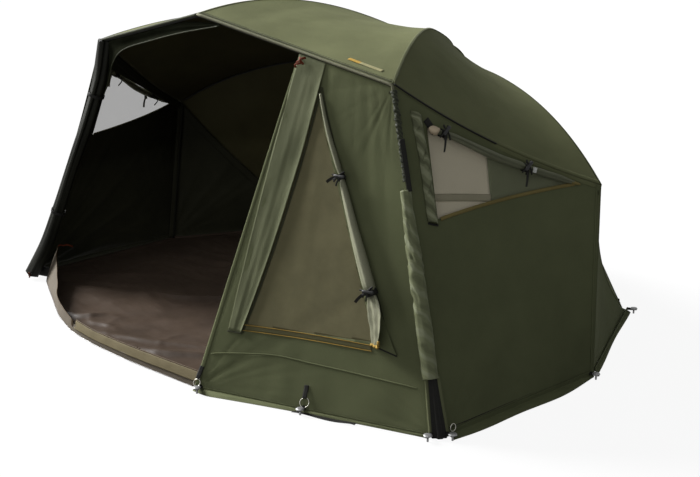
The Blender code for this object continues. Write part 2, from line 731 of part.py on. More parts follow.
def make_peg(name, surface, v, side):
    """A peg with the webbing loop that ties it to the hem of a wall."""
    rise = (surface(0.1, v).z - surface(0, v).z) / 0.1
    face = wall_point(surface, (LOOP_Z - HEM_Z) / rise, v, CLOTH + LOOP_SEAT)
    out = wall_point(surface, 0, v, 1) - wall_point(surface, 0, v, 0)
    out = Vector((out.x, out.y, 0)).normalized()
    if side < 0:
        face, out = mirrored(face), mirrored(out)
    place = face + out * LOOP_LENGTH
    shank = PEG_HEIGHT - PEG_HEAD
    peg = turned(name, ((0, PEG_HEIGHT), (PEG_HEAD_RADIUS * 0.7, PEG_HEIGHT),
                        (PEG_HEAD_RADIUS, PEG_HEIGHT - 0.002), (PEG_HEAD_RADIUS, shank + 0.001),
                        (PEG_RADIUS, shank), (PEG_RADIUS, 0), (0, 0)),
                 Matrix.Translation((place.x, place.y, 0)), PEG_GREY, 12)
    mesh = bpy.data.meshes.new("loop_" + name)
    strip = bmesh.new()
    bmesh.ops.create_cube(strip, size=1)
    length = LOOP_LENGTH + 2 * PEG_RADIUS
    bmesh.ops.scale(strip, vec=(length, LOOP_WIDTH, LOOP_THICK), verts=strip.verts)
    bmesh.ops.translate(strip, vec=(length / 2, 0, 0), verts=strip.verts)
    strip.to_mesh(mesh)
    strip.free()
    loop = bpy.data.objects.new("loop_" + name, mesh)
    loop.matrix_world = frame_matrix(face, UP, out)
    loop.hide_render = True
    loop.display_type = "WIRE"
    cutters.objects.link(loop)
    cut(peg, loop, "UNION")


def make_pegs():
    for side, label in ((1, "right"), (-1, "left")):
        make_peg("peg_side_" + label, side_wall(), 1 - PEG_FROM_CORNER, side)
        make_peg("peg_corner_" + label, side_wall(), PEG_FROM_CORNER, side)
        make_peg("peg_rear_" + label, rear_wall(), 1 - PEG_FROM_CORNER, side)
    make_peg("peg_panel", front_wall(), PEG_FROM_CORNER, 1)


make_crown()
make_ribs()
make_stretchers()
make_roof()
make_walls()
make_rolls()
make_zip_strip()
make_lip()
make_sleeve()
make_poles()
make_groundsheet()
make_pegs()
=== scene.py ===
import math
from functools import lru_cache

import bmesh
import bpy
from mathutils import Matrix, Vector, noise


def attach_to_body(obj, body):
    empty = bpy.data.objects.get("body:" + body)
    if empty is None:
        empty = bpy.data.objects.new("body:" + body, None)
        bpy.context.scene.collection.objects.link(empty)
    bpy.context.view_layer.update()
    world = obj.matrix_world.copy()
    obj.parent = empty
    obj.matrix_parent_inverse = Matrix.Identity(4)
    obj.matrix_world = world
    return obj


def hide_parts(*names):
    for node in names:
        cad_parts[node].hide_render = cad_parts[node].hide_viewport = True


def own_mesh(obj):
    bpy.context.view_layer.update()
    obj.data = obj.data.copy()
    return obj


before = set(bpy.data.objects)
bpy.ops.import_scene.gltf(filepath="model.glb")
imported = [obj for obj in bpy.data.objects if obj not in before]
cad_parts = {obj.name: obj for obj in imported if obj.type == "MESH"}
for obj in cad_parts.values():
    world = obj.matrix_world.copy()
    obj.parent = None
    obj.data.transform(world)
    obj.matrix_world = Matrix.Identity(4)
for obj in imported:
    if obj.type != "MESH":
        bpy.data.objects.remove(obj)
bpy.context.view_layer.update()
scene = bpy.context.scene
scene.view_settings.view_transform = "Standard"

UP = Vector((0, 0, 1))
OUT_FRONT = Vector((0.3, -0.95, 0))
OUT_RIGHT = Vector((1, 0, 0))
OUT_REAR = Vector((0.8, 0.6, 0))

# Values shared with the CAD source. Left-hand pieces are mirrored in X.
EDGE_GAP = 0.0008       # between a wall's top and the eave
RIB_SEAT = 0.0008       # between a rib and the cloth over it
CLOTH = 0.002           # the cloth solids' thickness
HEM_Z = 0.005
HUB = Vector((0, 0.78, 1.15))
SHAFT_DIP_DEG = 36.87
RIB_RADIUS = 0.004
TIP_FRONT = Vector((0, -0.88, 1.49))
TIP_CORNER = Vector((1.0, -0.72, 1.28))
TIP_SIDE = Vector((1.44, 0.09, 0.82))
TIP_REAR = Vector((1.10, 0.85, 0.012))
TIP_BACK = Vector((0, 1.27, 0.012))
BOW_FRONT = (0.36, 0.34)        # each rib's bow: even, and growing towards the tip
BOW_CORNER = (0.64, 0.10)
BOW_SIDE = (0.32, 0.29)
BOW_REAR = (0.80, -0.50)
BOW_BACK = (0.50, 0.0)
BOW_UPRIGHT = 0.4
RIB_PIVOT = 0.036
CROWN_BACK = 0.018
ROOF_START = 0.022      # share of the rib at which the cloth starts
ROOF_SAG = 0.022
EAVE_SAG = 0.040
HEM_RADIUS = 0.006
FOOT_CORNER = Vector((1.47, -0.93, HEM_Z))
FOOT_SIDE = Vector((1.50, 0.03, HEM_Z))
FOOT_REAR = Vector((1.13, 0.865, HEM_Z))
FOOT_PANEL = Vector((0.42, -1.29, HEM_Z))
PANEL_START = 0.55
WALL_DRAW = 0.012       # how far a wall is drawn in at its middle
# The windows' corners: (x, z) on the infill panel, (y, z) on the side walls
FRONT_WINDOW = ((0.668, 1.215), (0.580, 0.290), (1.135, 0.310))
SIDE_WINDOW = ((-0.612, 1.118), (-0.668, 0.770), (-0.040, 0.836))
REAR_DRAW = 0.060       # how far the rear panels' hems are drawn in between their ribs
AXIS = Vector((0, -math.cos(math.radians(SHAFT_DIP_DEG)), -math.sin(math.radians(SHAFT_DIP_DEG))))


# Camera: the photograph's viewpoint, for a picture of 700 x 477
CAMERA_AT = (4.29, -4.23, 2.02)
CAMERA_AZIMUTH, CAMERA_DIP, CAMERA_ROLL = (math.radians(a) for a in (45.1, 15.8, 0.2))
FOCAL_PX, PICTURE_PX, SENSOR_MM = 1240, 700, 36
FLOOR_Z = -0.0005


def add_to_scene(name, data, at=(0, 0, 0), turn=None):
    obj = bpy.data.objects.new(name, data)
    obj.location = at
    if turn:
        obj.rotation_euler = turn.to_euler()
    scene.collection.objects.link(obj)
    return obj


def make_camera():
    data = bpy.data.cameras.new("camera")
    data.sensor_width = SENSOR_MM
    data.lens = SENSOR_MM * FOCAL_PX / PICTURE_PX
    data.clip_end = 60
    flat = math.cos(CAMERA_DIP)
    look = Vector((-math.sin(CAMERA_AZIMUTH) * flat, math.cos(CAMERA_AZIMUTH) * flat, -math.sin(CAMERA_DIP)))
    turn = look.to_track_quat("-Z", "Y").to_matrix() @ Matrix.Rotation(CAMERA_ROLL, 3, "Z")
    scene.camera = add_to_scene("camera", data, CAMERA_AT, turn)


# Stage and light
def sun(name, towards, strength, softness_deg):
    data = bpy.data.lights.new(name, "SUN")
    data.energy = strength
    data.angle = math.radians(softness_deg)
    add_to_scene(name, data, turn=Vector(towards).to_track_quat("-Z", "Y"))


def node(tree, kind, **inputs):
    """A new shader node. Each input is a socket of another node, or a value."""
    made = tree.nodes.new("ShaderNode" + kind)
    for name, value in inputs.items():
        socket = made.inputs[int(name[1:]) if name[0] == "n" and name[1:].isdigit() else name]
        if isinstance(value, bpy.types.NodeSocket):
            tree.links.new(value, socket)
        else:
            socket.default_value = value
    return made


def either(tree, a, b):
    made = node(tree, "Math", n0=a, n1=b)
    made.operation = "MAXIMUM"
    return made.outputs[0]


def grey(level, blue=None):
    return (level, level, level if blue is None else blue, 1)


def make_stage():
    sun("key", (0.80, 0.17, -0.50), 11.6, 24)
    sun("front", (-0.25, 1.0, -0.35), 0.50, 50)
    data = bpy.data.lights.new("inside_fill", "AREA")
    data.shape = "RECTANGLE"
    data.size, data.size_y = 1.5, 1.0
    data.energy = 2.4
    lamp = add_to_scene("inside_fill", data, (-0.35, -0.15, 0.62))
    lamp.visible_camera = False
    lamp.visible_glossy = False

    # The camera sees white behind the shelter, also in mirrors and through nets; the rest is soft ambient light
    scene.world = bpy.data.worlds.new("world")
    scene.world.use_nodes = True
    tree = scene.world.node_tree
    tree.nodes.clear()
    path = node(tree, "LightPath").outputs
    seen = either(tree, either(tree, path["Is Camera Ray"], path["Is Glossy Ray"]), path["Is Transmission Ray"])
    ambient = node(tree, "Background", Color=(0.95, 0.98, 1.0, 1), Strength=0.29)
    white = node(tree, "Background", Color=grey(1), Strength=1.0)
    mix = node(tree, "MixShader", Fac=seen, n1=ambient.outputs[0], n2=white.outputs[0])
    node(tree, "OutputWorld", Surface=mix.outputs[0])

    # The floor glows white, with a faint shadow
    bpy.ops.mesh.primitive_plane_add(size=40, location=(0, 0, FLOOR_Z))
    floor = bpy.context.object
    floor.name = "floor"
    look = bpy.data.materials.new("floor")
    look.use_nodes = True
    tree = look.node_tree
    tree.nodes.clear()
    path = node(tree, "LightPath").outputs
    glow = node(tree, "Emission", Color=grey(1))
    paint = node(tree, "BsdfDiffuse", Color=grey(0.60))
    matt = node(tree, "BsdfDiffuse", Color=grey(0.13, 0.125))
    pale = node(tree, "MixShader", Fac=0.08, n1=glow.outputs[0], n2=paint.outputs[0])
    seen = either(tree, path["Is Camera Ray"], path["Is Glossy Ray"])
    mix = node(tree, "MixShader", Fac=seen, n1=matt.outputs[0], n2=pale.outputs[0])
    node(tree, "OutputMaterial", Surface=mix.outputs[0])
    floor.data.materials.append(look)


make_camera()
make_stage()


# Materials
BANDS_PER_SCALE = 3.2       # the wave texture's bands per metre at scale 1
SLANT_SCALE = 0.63          # its scale for one slanting band per metre


class Look:
    """A Principled material, built node by node."""

    def __init__(self, name, roughness, specular=0.5, metallic=0.0):
        self.made = bpy.data.materials.new(name)
        self.made.use_nodes = True
        self.tree = self.made.node_tree
        self.shader = self.tree.nodes["Principled BSDF"]
        self.put("Roughness", roughness)
        self.put("Specular IOR Level", specular)
        self.put("Metallic", metallic)
        self.place = node(self.tree, "TexCoord").outputs

    def put(self, socket, value):
        self.shader.inputs[socket].default_value = value

    def noise(self, scale, detail=3.0, rough=0.55, stretch=None):
        place = self.place["Object"]
        if stretch:
            place = node(self.tree, "Mapping", Vector=place, Scale=stretch).outputs["Vector"]
        made = node(self.tree, "TexNoise", Vector=place, Scale=scale, Detail=detail, Roughness=rough)
        return made.outputs["Fac"]

    def waves(self, direction, scale, distortion, **more):
        """Bands over the cloth's own surface, whose UV is in metres."""
        made = node(self.tree, "TexWave", Vector=self.place["UV"], Scale=scale, Distortion=distortion, **more)
        made.bands_direction = direction
        return made.outputs["Fac"]

    def thread(self, per_metre, direction):
        return self.waves(direction, per_metre / BANDS_PER_SCALE, 0.6, Detail=1.0)

    def gathers(self, per_metre, distortion):
        """Slanting folds, bunched unevenly."""
        return self.waves("DIAGONAL", per_metre * SLANT_SCALE, distortion, Detail=2.0, **{"Detail Scale": 1.3})

    def math(self, operation, a, b):
        made = node(self.tree, "Math", n0=a, n1=b)
        made.operation = operation
        return made.outputs[0]

    def ramp(self, source, stops, socket="Base Color"):
        made = node(self.tree, "ValToRGB", Fac=source)
        points = made.color_ramp.elements
        while len(points) < len(stops):
            points.new(0.5)
        for point, (at, value) in zip(points, stops):
            point.position = at
            point.color = (*value, 1) if isinstance(value, tuple) else grey(value)
        self.tree.links.new(made.outputs["Color"], self.shader.inputs[socket])

    def bump(self, height, distance, strength=1.0):
        made = node(self.tree, "Bump", Height=height, Distance=distance, Strength=strength)
        last = self.shader.inputs["Normal"]
        if last.is_linked:
            self.tree.links.new(last.links[0].from_socket, made.inputs["Normal"])
        self.tree.links.new(made.outputs["Normal"], last)


def shade(colour, factor):
    return tuple(c * factor for c in colour)


def cloth(name, colour, roughness=0.72, vary=0.16, threads=1500, specular=0.06):
    """Woven cloth: threads both ways, soft mottling and slubs."""
    look = Look(name, roughness, specular)
    cloud = look.noise(3.2, 4.0, 0.6)
    fine = look.noise(260.0, 2.0, 0.7)
    mixed = look.math("ADD", look.math("MULTIPLY", cloud, 0.74), look.math("MULTIPLY", fine, 0.26))
    look.ramp(mixed, ((0.30, shade(colour, 1 - vary)), (0.50, colour), (0.72, shade(colour, 1 + vary))))
    weave = look.math("MAXIMUM", look.thread(threads, "X"), look.thread(threads, "Y"))
    look.bump(weave, 0.00012, 0.6)
    look.bump(look.noise(38.0, 4.0, 0.6), 0.0012, 0.35)
    return look.made


def gathered(name, dark, middle, light, per_metre, distortion=5.0):
    """Cloth in gathers that are finer than the mesh, with painted shade in the valleys and painted highlights on the
    ridges.
    """
    look = Look(name, 0.60, 0.10)
    folds = look.gathers(per_metre, distortion)
    # The ramp paints shade into the valleys (dark) and highlights onto the ridges (light)
    look.ramp(folds, ((0.08, dark), (0.35, middle), (0.72, middle), (0.97, light)))
    look.bump(folds, 0.0015, 0.6)
    look.bump(look.noise(260.0, 2.0, 0.7), 0.0002, 0.5)
    return look.made


def net_look(name, colour, alpha, vary=0.12):
    look = Look(name, 0.85, 0.10)
    cloud = look.noise(9.0, 5.0, 0.65)
    look.ramp(cloud, ((0.30, shade(colour, 1 - vary)), (0.55, colour), (0.75, shade(colour, 1 + vary))))
    mesh = look.math("MULTIPLY", look.thread(900, "X"), look.thread(900, "Y"))
    look.bump(mesh, 0.0003, 0.7)
    look.put("Alpha", alpha)
    return look.made


def hard(name, colour, roughness, metallic=0.0, grain=400.0, vary=0.2, depth=0.0002):
    look = Look(name, roughness, 0.5 if metallic else 0.2, metallic)
    spots = look.noise(grain, 3.0, 0.6)
    look.ramp(spots, ((0.35, shade(colour, 1 - vary)), (0.65, shade(colour, 1 + vary))))
    look.bump(spots, depth, 0.5)
    return look.made


ROOF = cloth("roof_cloth", (0.102, 0.108, 0.055), 0.80, specular=0.03)
WALL = cloth("wall_cloth", (0.088, 0.096, 0.050), 0.80, specular=0.03)
STRIP = cloth("strip_cloth", (0.096, 0.103, 0.057), 0.66)
ROLL = cloth("roll_cloth", (0.175, 0.176, 0.120), 0.60, 0.25, specular=0.1)
LINING = cloth("black_lining", (0.0220, 0.0220, 0.0135), 0.55, 0.3, specular=0.05)
UNDER = cloth("roof_underside", (0.0420, 0.0380, 0.0170), 0.60, 0.3, specular=0.10)
# The right window's net: the same net as the left window's, painted darker for the shade on the right wall
SHADED_NET = net_look("dark_net_look", (0.030, 0.030, 0.021), 0.13)
# Sleeve and window strip: gathered cloth with painted shade in the valleys and painted highlights on the ridges
SLEEVE = gathered("sleeve_cloth", (0.095, 0.103, 0.056), (0.120, 0.130, 0.071), (0.155, 0.166, 0.103), 12)
GATHERED = gathered("window_strip_cloth", (0.075, 0.080, 0.045), (0.120, 0.128, 0.074), (0.180, 0.190, 0.120), 14)
BROWN = cloth("brown_binding", (0.050, 0.034, 0.018), 0.60, 0.2, 1200)
HEADER_EDGE = cloth("header_edge", (0.024, 0.026, 0.014), 0.65, 0.2)
SEAM = cloth("seam_cloth", (0.088, 0.094, 0.050), 0.70, 0.2)
HEM = cloth("hem_cloth", (0.120, 0.118, 0.078), 0.62, 0.15)
BINDING = cloth("window_binding", (0.075, 0.070, 0.034), 0.70, 0.15)
DULL_OCHRE = cloth("dull_ochre", (0.150, 0.120, 0.045), 0.70, 0.35, 1200)
SIDE_ROLL_LOOK = cloth("side_roll_cloth", (0.112, 0.117, 0.076), 0.60, 0.3)
PALE_ROLL = cloth("pale_roll_end", (0.42, 0.34, 0.24), 0.65, 0.3)
BLIND_HEM = cloth("blind_hem_cloth", (0.42, 0.385, 0.27), 0.75, 0.1)
BACKING = cloth("window_backing_cloth", (0.220, 0.235, 0.145), 0.75, 0.15)
BUCKLE = hard("grey_buckle", (0.42, 0.42, 0.40), 0.40)
TAB = cloth("plain_tab", (0.330, 0.210, 0.045), 0.60, 0.25, 1400)
PALE_TAB = cloth("plain_tab_end", (0.235, 0.220, 0.115), 0.60, 0.15, 1400)
DOOR = cloth("door_lining", (0.0095, 0.0098, 0.0066), 0.50, 0.6, specular=0.07)
# The corner ruffle: gathered cloth with painted shade in the valleys and painted highlights on the ridges
RUFFLE = gathered("ruffle_cloth", (0.014, 0.016, 0.010), (0.024, 0.027, 0.016), (0.034, 0.037, 0.022), 55, 3)
HEADER = cloth("header_lining", (0.0110, 0.0120, 0.0075), 0.85, 0.4, specular=0.0)
DARK_HEM = cloth("dark_hem", (0.030, 0.032, 0.018), 0.65, 0.2)
BLACK = cloth("black_webbing", (0.0110, 0.0108, 0.0095), 0.65, 0.2, 900, 0.08)
KHAKI = cloth("khaki_webbing", (0.106, 0.088, 0.050), 0.75, 0.15, 1100)
TAUPE = cloth("taupe_cloth", (0.088, 0.074, 0.056), 0.60, 0.15)
OCHRE = cloth("ochre_piping", (0.230, 0.150, 0.035), 0.70, 0.2, 1200)
PALE = cloth("pale_blind", (0.82, 0.74, 0.56), 0.75, 0.08)
FRONT_NET = net_look("front_net_look", (0.134, 0.122, 0.066), 0.86)
SIDE_NET = net_look("side_net_look", (0.14, 0.13, 0.10), 0.41, 0.08)
PLASTIC = hard("moulded_black", (0.012, 0.012, 0.012), 0.45)
RODS = hard("glassfibre", (0.012, 0.012, 0.012), 0.50, 0.0, 900.0)
TUBES = hard("black_tube", (0.014, 0.014, 0.015), 0.45, 0.0, 700.0)
STEEL = hard("peg_steel", (0.20, 0.20, 0.20), 0.50, 0.6, 500.0, 0.15)
RING_STEEL = hard("ring_steel", (0.34, 0.33, 0.29), 0.40, 0.9, 600.0, 0.15)
ORANGE = cloth("orange_webbing", (0.075, 0.016, 0.006), 0.65, 0.3, 900)


def groundsheet_look():
    """Coated cloth with soft wrinkles and uneven gloss."""
    look = Look("groundsheet_pvc", 0.34, 0.16)
    cloud = look.noise(4.0, 5.0, 0.6)
    look.ramp(cloud, ((0.30, (0.032, 0.023, 0.017)), (0.52, (0.042, 0.030, 0.022)),
                      (0.75, (0.054, 0.039, 0.029))))
    look.ramp(look.noise(7.0, 3.0, 0.6), ((0.30, 0.28), (0.75, 0.40)), "Roughness")
    look.bump(look.noise(6.0, 2.0, 0.45, (1.0, 2.0, 1.0)), 0.012, 0.5)
    return look.made


GROUND = groundsheet_look()


# Ribs and surfaces, as in the CAD source
def mirrored(point):
    return Vector((-point.x, point.y, point.z))


def turned(side):
    """What takes a point of the right half to a side: the left one is negative."""
    return mirrored if side < 0 else Vector


def smooth_step(x):
    x = min(max(x, 0.0), 1.0)
    return x * x * (3 - 2 * x)


def square_to(line, way):
    """The unit vector along the part of way that is square to line."""
    return (way - line * way.dot(line)).normalized()


def spoke(x, y, angle):
    return x * math.cos(angle) + y * math.sin(angle)


def heading_at(points, i, closed=False):
    """The direction of a line of points at its point i."""
    last = len(points) - 1
    before, after = (i - 1, (i + 1) % (last + 1)) if closed else (max(i - 1, 0), min(i + 1, last))
    return (points[after] - points[before]).normalized()


def length_of(points):
    return sum((b - a).length for a, b in zip(points, points[1:]))


def travel_along(points):
    """How far each point of a line is from its start."""
    found = [0.0]
    for a, b in zip(points, points[1:]):
        found.append(found[-1] + (b - a).length)
    return found


class Rib:
    """One rib's line, from its pivot at the crown to the cloth's corner."""

    def __init__(self, name, tip, bow):
        self.name, self.tip, self.bow = name, tip, bow
        self.pivot = HUB + square_to(AXIS, (tip - HUB).normalized()) * RIB_PIVOT
        self.run = tip - self.pivot
        self.hinge = self.run.cross(AXIS).normalized()
        along = self.run.normalized()
        self.away, self.upright = square_to(along, -AXIS), square_to(along, UP)

    def point(self, t):
        even, late = self.bow
        rise = t * (1 - t) * (even + late * t)
        lean = smooth_step(t / BOW_UPRIGHT)
        return self.pivot + self.run * t + self.away.lerp(self.upright, lean) * rise

    def heading(self, t):
        return (self.point(t + 0.001) - self.point(t - 0.001)).normalized()


RING = [Rib("front", TIP_FRONT, BOW_FRONT)]
for label, tip, bow in (("front_right", TIP_CORNER, BOW_CORNER), ("side_right", TIP_SIDE, BOW_SIDE),
                        ("rear_right", TIP_REAR, BOW_REAR)):
    RING.append(Rib(label, tip, bow))
RING.append(Rib("rear", TIP_BACK, BOW_BACK))
for rib in RING[3:0:-1]:
    RING.append(Rib(rib.name.replace("right", "left"), mirrored(rib.tip), rib.bow))


@lru_cache(maxsize=None)
def seat_normal(index, t):
    rib = RING[index % 8]
    here, heading = rib.point(t), rib.heading(t)
    total = Vector()
    for step in (-1, 1):
        other = RING[(index + step) % 8].point(t) - here
        normal = heading.cross(other).normalized()
        total += normal if normal.dot(-AXIS) > 0 else -normal
    return square_to(heading, total)


@lru_cache(maxsize=None)
def seam(index, t):
    return RING[index % 8].point(t) + seat_normal(index, t) * (RIB_RADIUS + RIB_SEAT)


def roof_station(u):
    return ROOF_START + (1 - ROOF_START) * u


PANELS = ("front_right", "side_right", "rear_right", "back_right", "back_left", "rear_left", "side_left",
          "front_left")


def sag_at(index, u):
    name = PANELS[index]
    if name.startswith("side"):
        return ROOF_SAG * math.sin(math.pi * min(u, 0.5)) + (EAVE_SAG - ROOF_SAG) * smooth_step(u)
    if name.startswith("front"):
        return ROOF_SAG * math.sin(math.pi * u)
    if name.startswith("rear"):
        return ROOF_SAG * math.sin(math.pi * min(u, 0.5)) + (REAR_DRAW - ROOF_SAG) * smooth_step(u * 2 - 1)
    return ROOF_SAG * math.sin(math.pi * min(u, 0.5))


def roof_point(index, u, v):
    t = roof_station(u)
    a, b = seam(index, t), seam(index + 1, t)
    normal = (seat_normal(index, t) + seat_normal(index + 1, t)).normalized()
    return a.lerp(b, v) - normal * (4 * v * (1 - v)) * sag_at(index, u)


def eave(index, v):
    return roof_point(index, 1, v)


def wall_between(top, bottom, outward):
    def surface(u, v):
        draw = 4 * u * (1 - u) * 4 * v * (1 - v) * WALL_DRAW
        return bottom(v).lerp(top(v), u) - outward * draw
    return surface


def span(a, b):
    return lambda v: a.lerp(b, v)


side_wall = wall_between(lambda v: eave(1, v) - UP * EDGE_GAP, span(FOOT_CORNER, FOOT_SIDE), OUT_RIGHT)
rear_wall = wall_between(lambda v: eave(2, v) - UP * EDGE_GAP, span(FOOT_SIDE, FOOT_REAR), OUT_REAR)
front_wall = wall_between(lambda v: eave(0, PANEL_START + (1 - PANEL_START) * v)
                          - UP * (HEM_RADIUS * 0.75 + EDGE_GAP), span(FOOT_PANEL, FOOT_CORNER), OUT_FRONT)


def on_side(surface, side):
    return surface if side > 0 else (lambda u, v: mirrored(surface(u, v)))


def corner_line(share):
    return FOOT_CORNER.lerp(eave(1, 0), share)


# Which body each piece follows when the umbrella closes, with the axis and point about which it would gather (not
# applied)
POLE_LINE = (FOOT_CORNER - TIP_CORNER).normalized()
# Both ends of the header band's line
HEADER_ENDS = Vector((-0.985, -0.725, 1.010)), Vector((0.134, -0.862, 1.462))


def fold_axis(spread, line):
    """The axis along which cloth that spreads that way gathers against line."""
    return square_to(line.normalized(), spread)


SIDE_AXIS = fold_axis(FOOT_SIDE + TIP_SIDE - TIP_CORNER * 2, POLE_LINE)
PANEL_AXIS = fold_axis(FOOT_PANEL - TIP_CORNER, POLE_LINE)
FLANK_AXIS = fold_axis(FOOT_SIDE + TIP_SIDE - FOOT_REAR * 2, HUB - FOOT_REAR)


FOLLOW = {rib.name: ("rib_" + rib.name, rib.hinge, rib.pivot) for rib in RING}
FOLLOW |= {
    "wall_right": ("pole_upper_right", SIDE_AXIS, TIP_CORNER),
    "wall_left": ("pole_upper_left", mirrored(SIDE_AXIS), mirrored(TIP_CORNER)),
    "panel": ("pole_upper_right", PANEL_AXIS, TIP_CORNER),
    "flank_right": ("rib_rear_right", FLANK_AXIS, FOOT_REAR),
    "flank_left": ("rib_rear_left", mirrored(FLANK_AXIS), mirrored(FOOT_REAR)),
    "door": ("pole_upper_left", RING[7].hinge, mirrored(TIP_CORNER)),
    "header": ("rib_front", (HEADER_ENDS[1] - HEADER_ENDS[0]).normalized(), HEADER_ENDS[1]),
    "ground": ("shelter", None, None),
}


def place(obj, follow, slot=None, replaces=()):
    """Puts a finished piece on the body that it follows, and hides the CAD parts that it replaces."""
    body, axis, anchor = FOLLOW[follow]
    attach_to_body(obj, body)
    if axis is not None:
        tuple(axis)
        tuple(anchor)
        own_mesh(obj)
    if replaces:
        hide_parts(*replaces)
    return obj


# Mesh makers
CUTS = {}       # each sheet's width, length and area before it was hung
TRIMS = {}      # the pieces on each sheet
LEAST_FILL = 0.301      # the least share of a flat box that a declared sheet fills


def declare(obj, held, rests_on, flat=None, area=None):
    """Works out the flat size that a sheet of cloth was cut to, and its area; nothing is kept."""
    width, length, surface = CUTS[obj.name]
    flat = flat or (round(width, 3), round(length, 3))
    box = flat[0] * flat[1]
    area = min(max(area or round(surface, 4), LEAST_FILL * box), box)


def trim(sheet, *pieces):
    TRIMS.setdefault(sheet, []).extend(pieces)


def attach(obj, follow, sheet=None, slot="wall_cloth", replaces=()):
    """Places a piece, and counts it among a sheet's pieces."""
    place(obj, follow, slot, replaces)
    if sheet:
        trim(sheet, obj)
    return obj


def new_object(name, shape, *looks, sharp=None):
    """An object from a bmesh, smooth apart from edges over sharp degrees."""
    mesh = bpy.data.meshes.new(name)
    shape.to_mesh(mesh)
    shape.free()
    for look in looks:
        mesh.materials.append(look)
    mesh.shade_smooth()
    if sharp:
        mesh.set_sharp_from_angle(angle=math.radians(sharp))
    return add_to_scene(name, mesh)


def skin(rows, uv_at, wrap=False, closed=False, flip=False):
    """A bmesh with faces between rows of points. uv_at(first, i, k) is the UV, in metres, of point k of row i,
    in the faces after row first. wrap joins each row's ends, closed joins the last row to the first."""
    shape = bmesh.new()
    uv = shape.loops.layers.uv.new("metres")
    grid = [[shape.verts.new(point) for point in row] for row in rows]
    count, steps = len(rows), len(rows[0])
    for i in range(count if closed else count - 1):
        for k in range(steps if wrap else steps - 1):
            corners = [(i, k), (i, k + 1), (i + 1, k + 1), (i + 1, k)]
            if flip:
                corners.reverse()
            face = shape.faces.new([grid[a % count][b % steps] for a, b in corners])
            for loop, (a, b) in zip(face.loops, corners):
                loop[uv].uv = uv_at(i, a % count, b)
    if wrap and not closed:
        shape.faces.new(grid[0][::-1])
        shape.faces.new(grid[-1])
    return shape


def cloth_grid(name, surface, cells, outward, looks, lift=None, thick=0.0012, base=CLOTH, window=None,
               keep_inside=False, edges=None, blend=0.12):
    """Cloth along surface(u, v): its outer face is base plus lift(u, v, point) out from there.
    edges are the directions that it shares with its neighbours at v = 0 and v = 1."""
    rows, cols = cells
    points = [[surface(i / rows, j / cols) for j in range(cols + 1)] for i in range(rows + 1)]

    def normal_at(i, j):
        rise = points[min(i + 1, rows)][j] - points[max(i - 1, 0)][j]
        across = points[i][min(j + 1, cols)] - points[i][max(j - 1, 0)]
        return across.cross(rise).normalized()

    flip = 1 if normal_at(rows // 2, cols // 2).dot(outward) > 0 else -1

    def lifted(i, j):
        normal = normal_at(i, j) * flip
        if edges:
            held = edges[0](i / rows) if j * 2 < cols else edges[1](i / rows)
            normal = held.lerp(normal, smooth_step(min(j, cols - j) / cols / blend)).normalized()
        return points[i][j] + normal * (base + (lift(i / rows, j / cols, points[i][j]) if lift else 0))

    size_u, size_v = length_of([row[cols // 2] for row in points]), length_of(points[rows // 2])
    shape = skin([[lifted(i, j) for j in range(cols + 1)] for i in range(rows + 1)],
                 lambda _, i, j: (j / cols * size_v, i / rows * size_u), flip=flip < 0)
    if window:
        cut_window(shape, *window, keep_inside)
    CUTS[name] = max(length_of(row) for row in points), size_u, sum(face.calc_area() for face in shape.faces)
    obj = new_object(name, shape, *looks)
    thicken(obj, thick)
    return obj


def thicken(obj, thick):
    """Gives a sheet its thickness, inwards. A second material is for its inner side."""
    skin = obj.modifiers.new("cloth", "SOLIDIFY")
    skin.thickness = thick
    skin.offset = -1
    if len(obj.data.materials) > 1:
        skin.material_offset = 1
        skin.material_offset_rim = 0


def cut_window(shape, corners, axis, keep_inside):
    """Cuts the grid along a triangle's sides, seen along X (axis 0) or Y (axis 1), and drops what is inside or
    outside it."""
    def spread(x, z):
        return Vector((x, 0, z)) if axis == 1 else Vector((0, x, z))

    sides = list(zip(corners, corners[1:] + corners[:1]))
    for a, b in sides:
        bmesh.ops.bisect_plane(shape, geom=shape.verts[:] + shape.edges[:] + shape.faces[:], dist=1e-6,
                               plane_co=spread(*a), plane_no=spread(a[1] - b[1], b[0] - a[0]).normalized())

    def inside(point):
        x, y = point[1 - axis], point.z
        signs = [(b[0] - a[0]) * (y - a[1]) - (b[1] - a[1]) * (x - a[0]) > 0 for a, b in sides]
        return all(signs) or not any(signs)
    gone = [face for face in shape.faces if inside(face.calc_center_median()) != keep_inside]
    bmesh.ops.delete(shape, geom=gone, context="FACES")


def per_point(value, count):
    return value if isinstance(value, (list, tuple)) else [value] * count


def tube(name, points, radii, looks, steps=10, side=Vector((0.3, 0.2, 0.93)), wave=None, closed=False):
    """A round piece along a line of points. wave(share, angle) varies its radius."""
    count = len(points)
    radii = per_point(radii, count)
    rows = []
    for i, point in enumerate(points):
        along = heading_at(points, i, closed)
        x = square_to(along, side)
        row = []
        for angle in (2 * math.pi * k / steps for k in range(steps)):
            size = radii[i] * (1 + (wave(i / (count - 1), angle) if wave else 0))
            row.append(point + spoke(x, along.cross(x), angle) * size)
        rows.append(row)
    travel = travel_along(points)
    shape = skin(rows, lambda first, i, k: (k * (2 * math.pi * radii[first] / steps), travel[i]), True, closed)
    return new_object(name, shape, *looks)


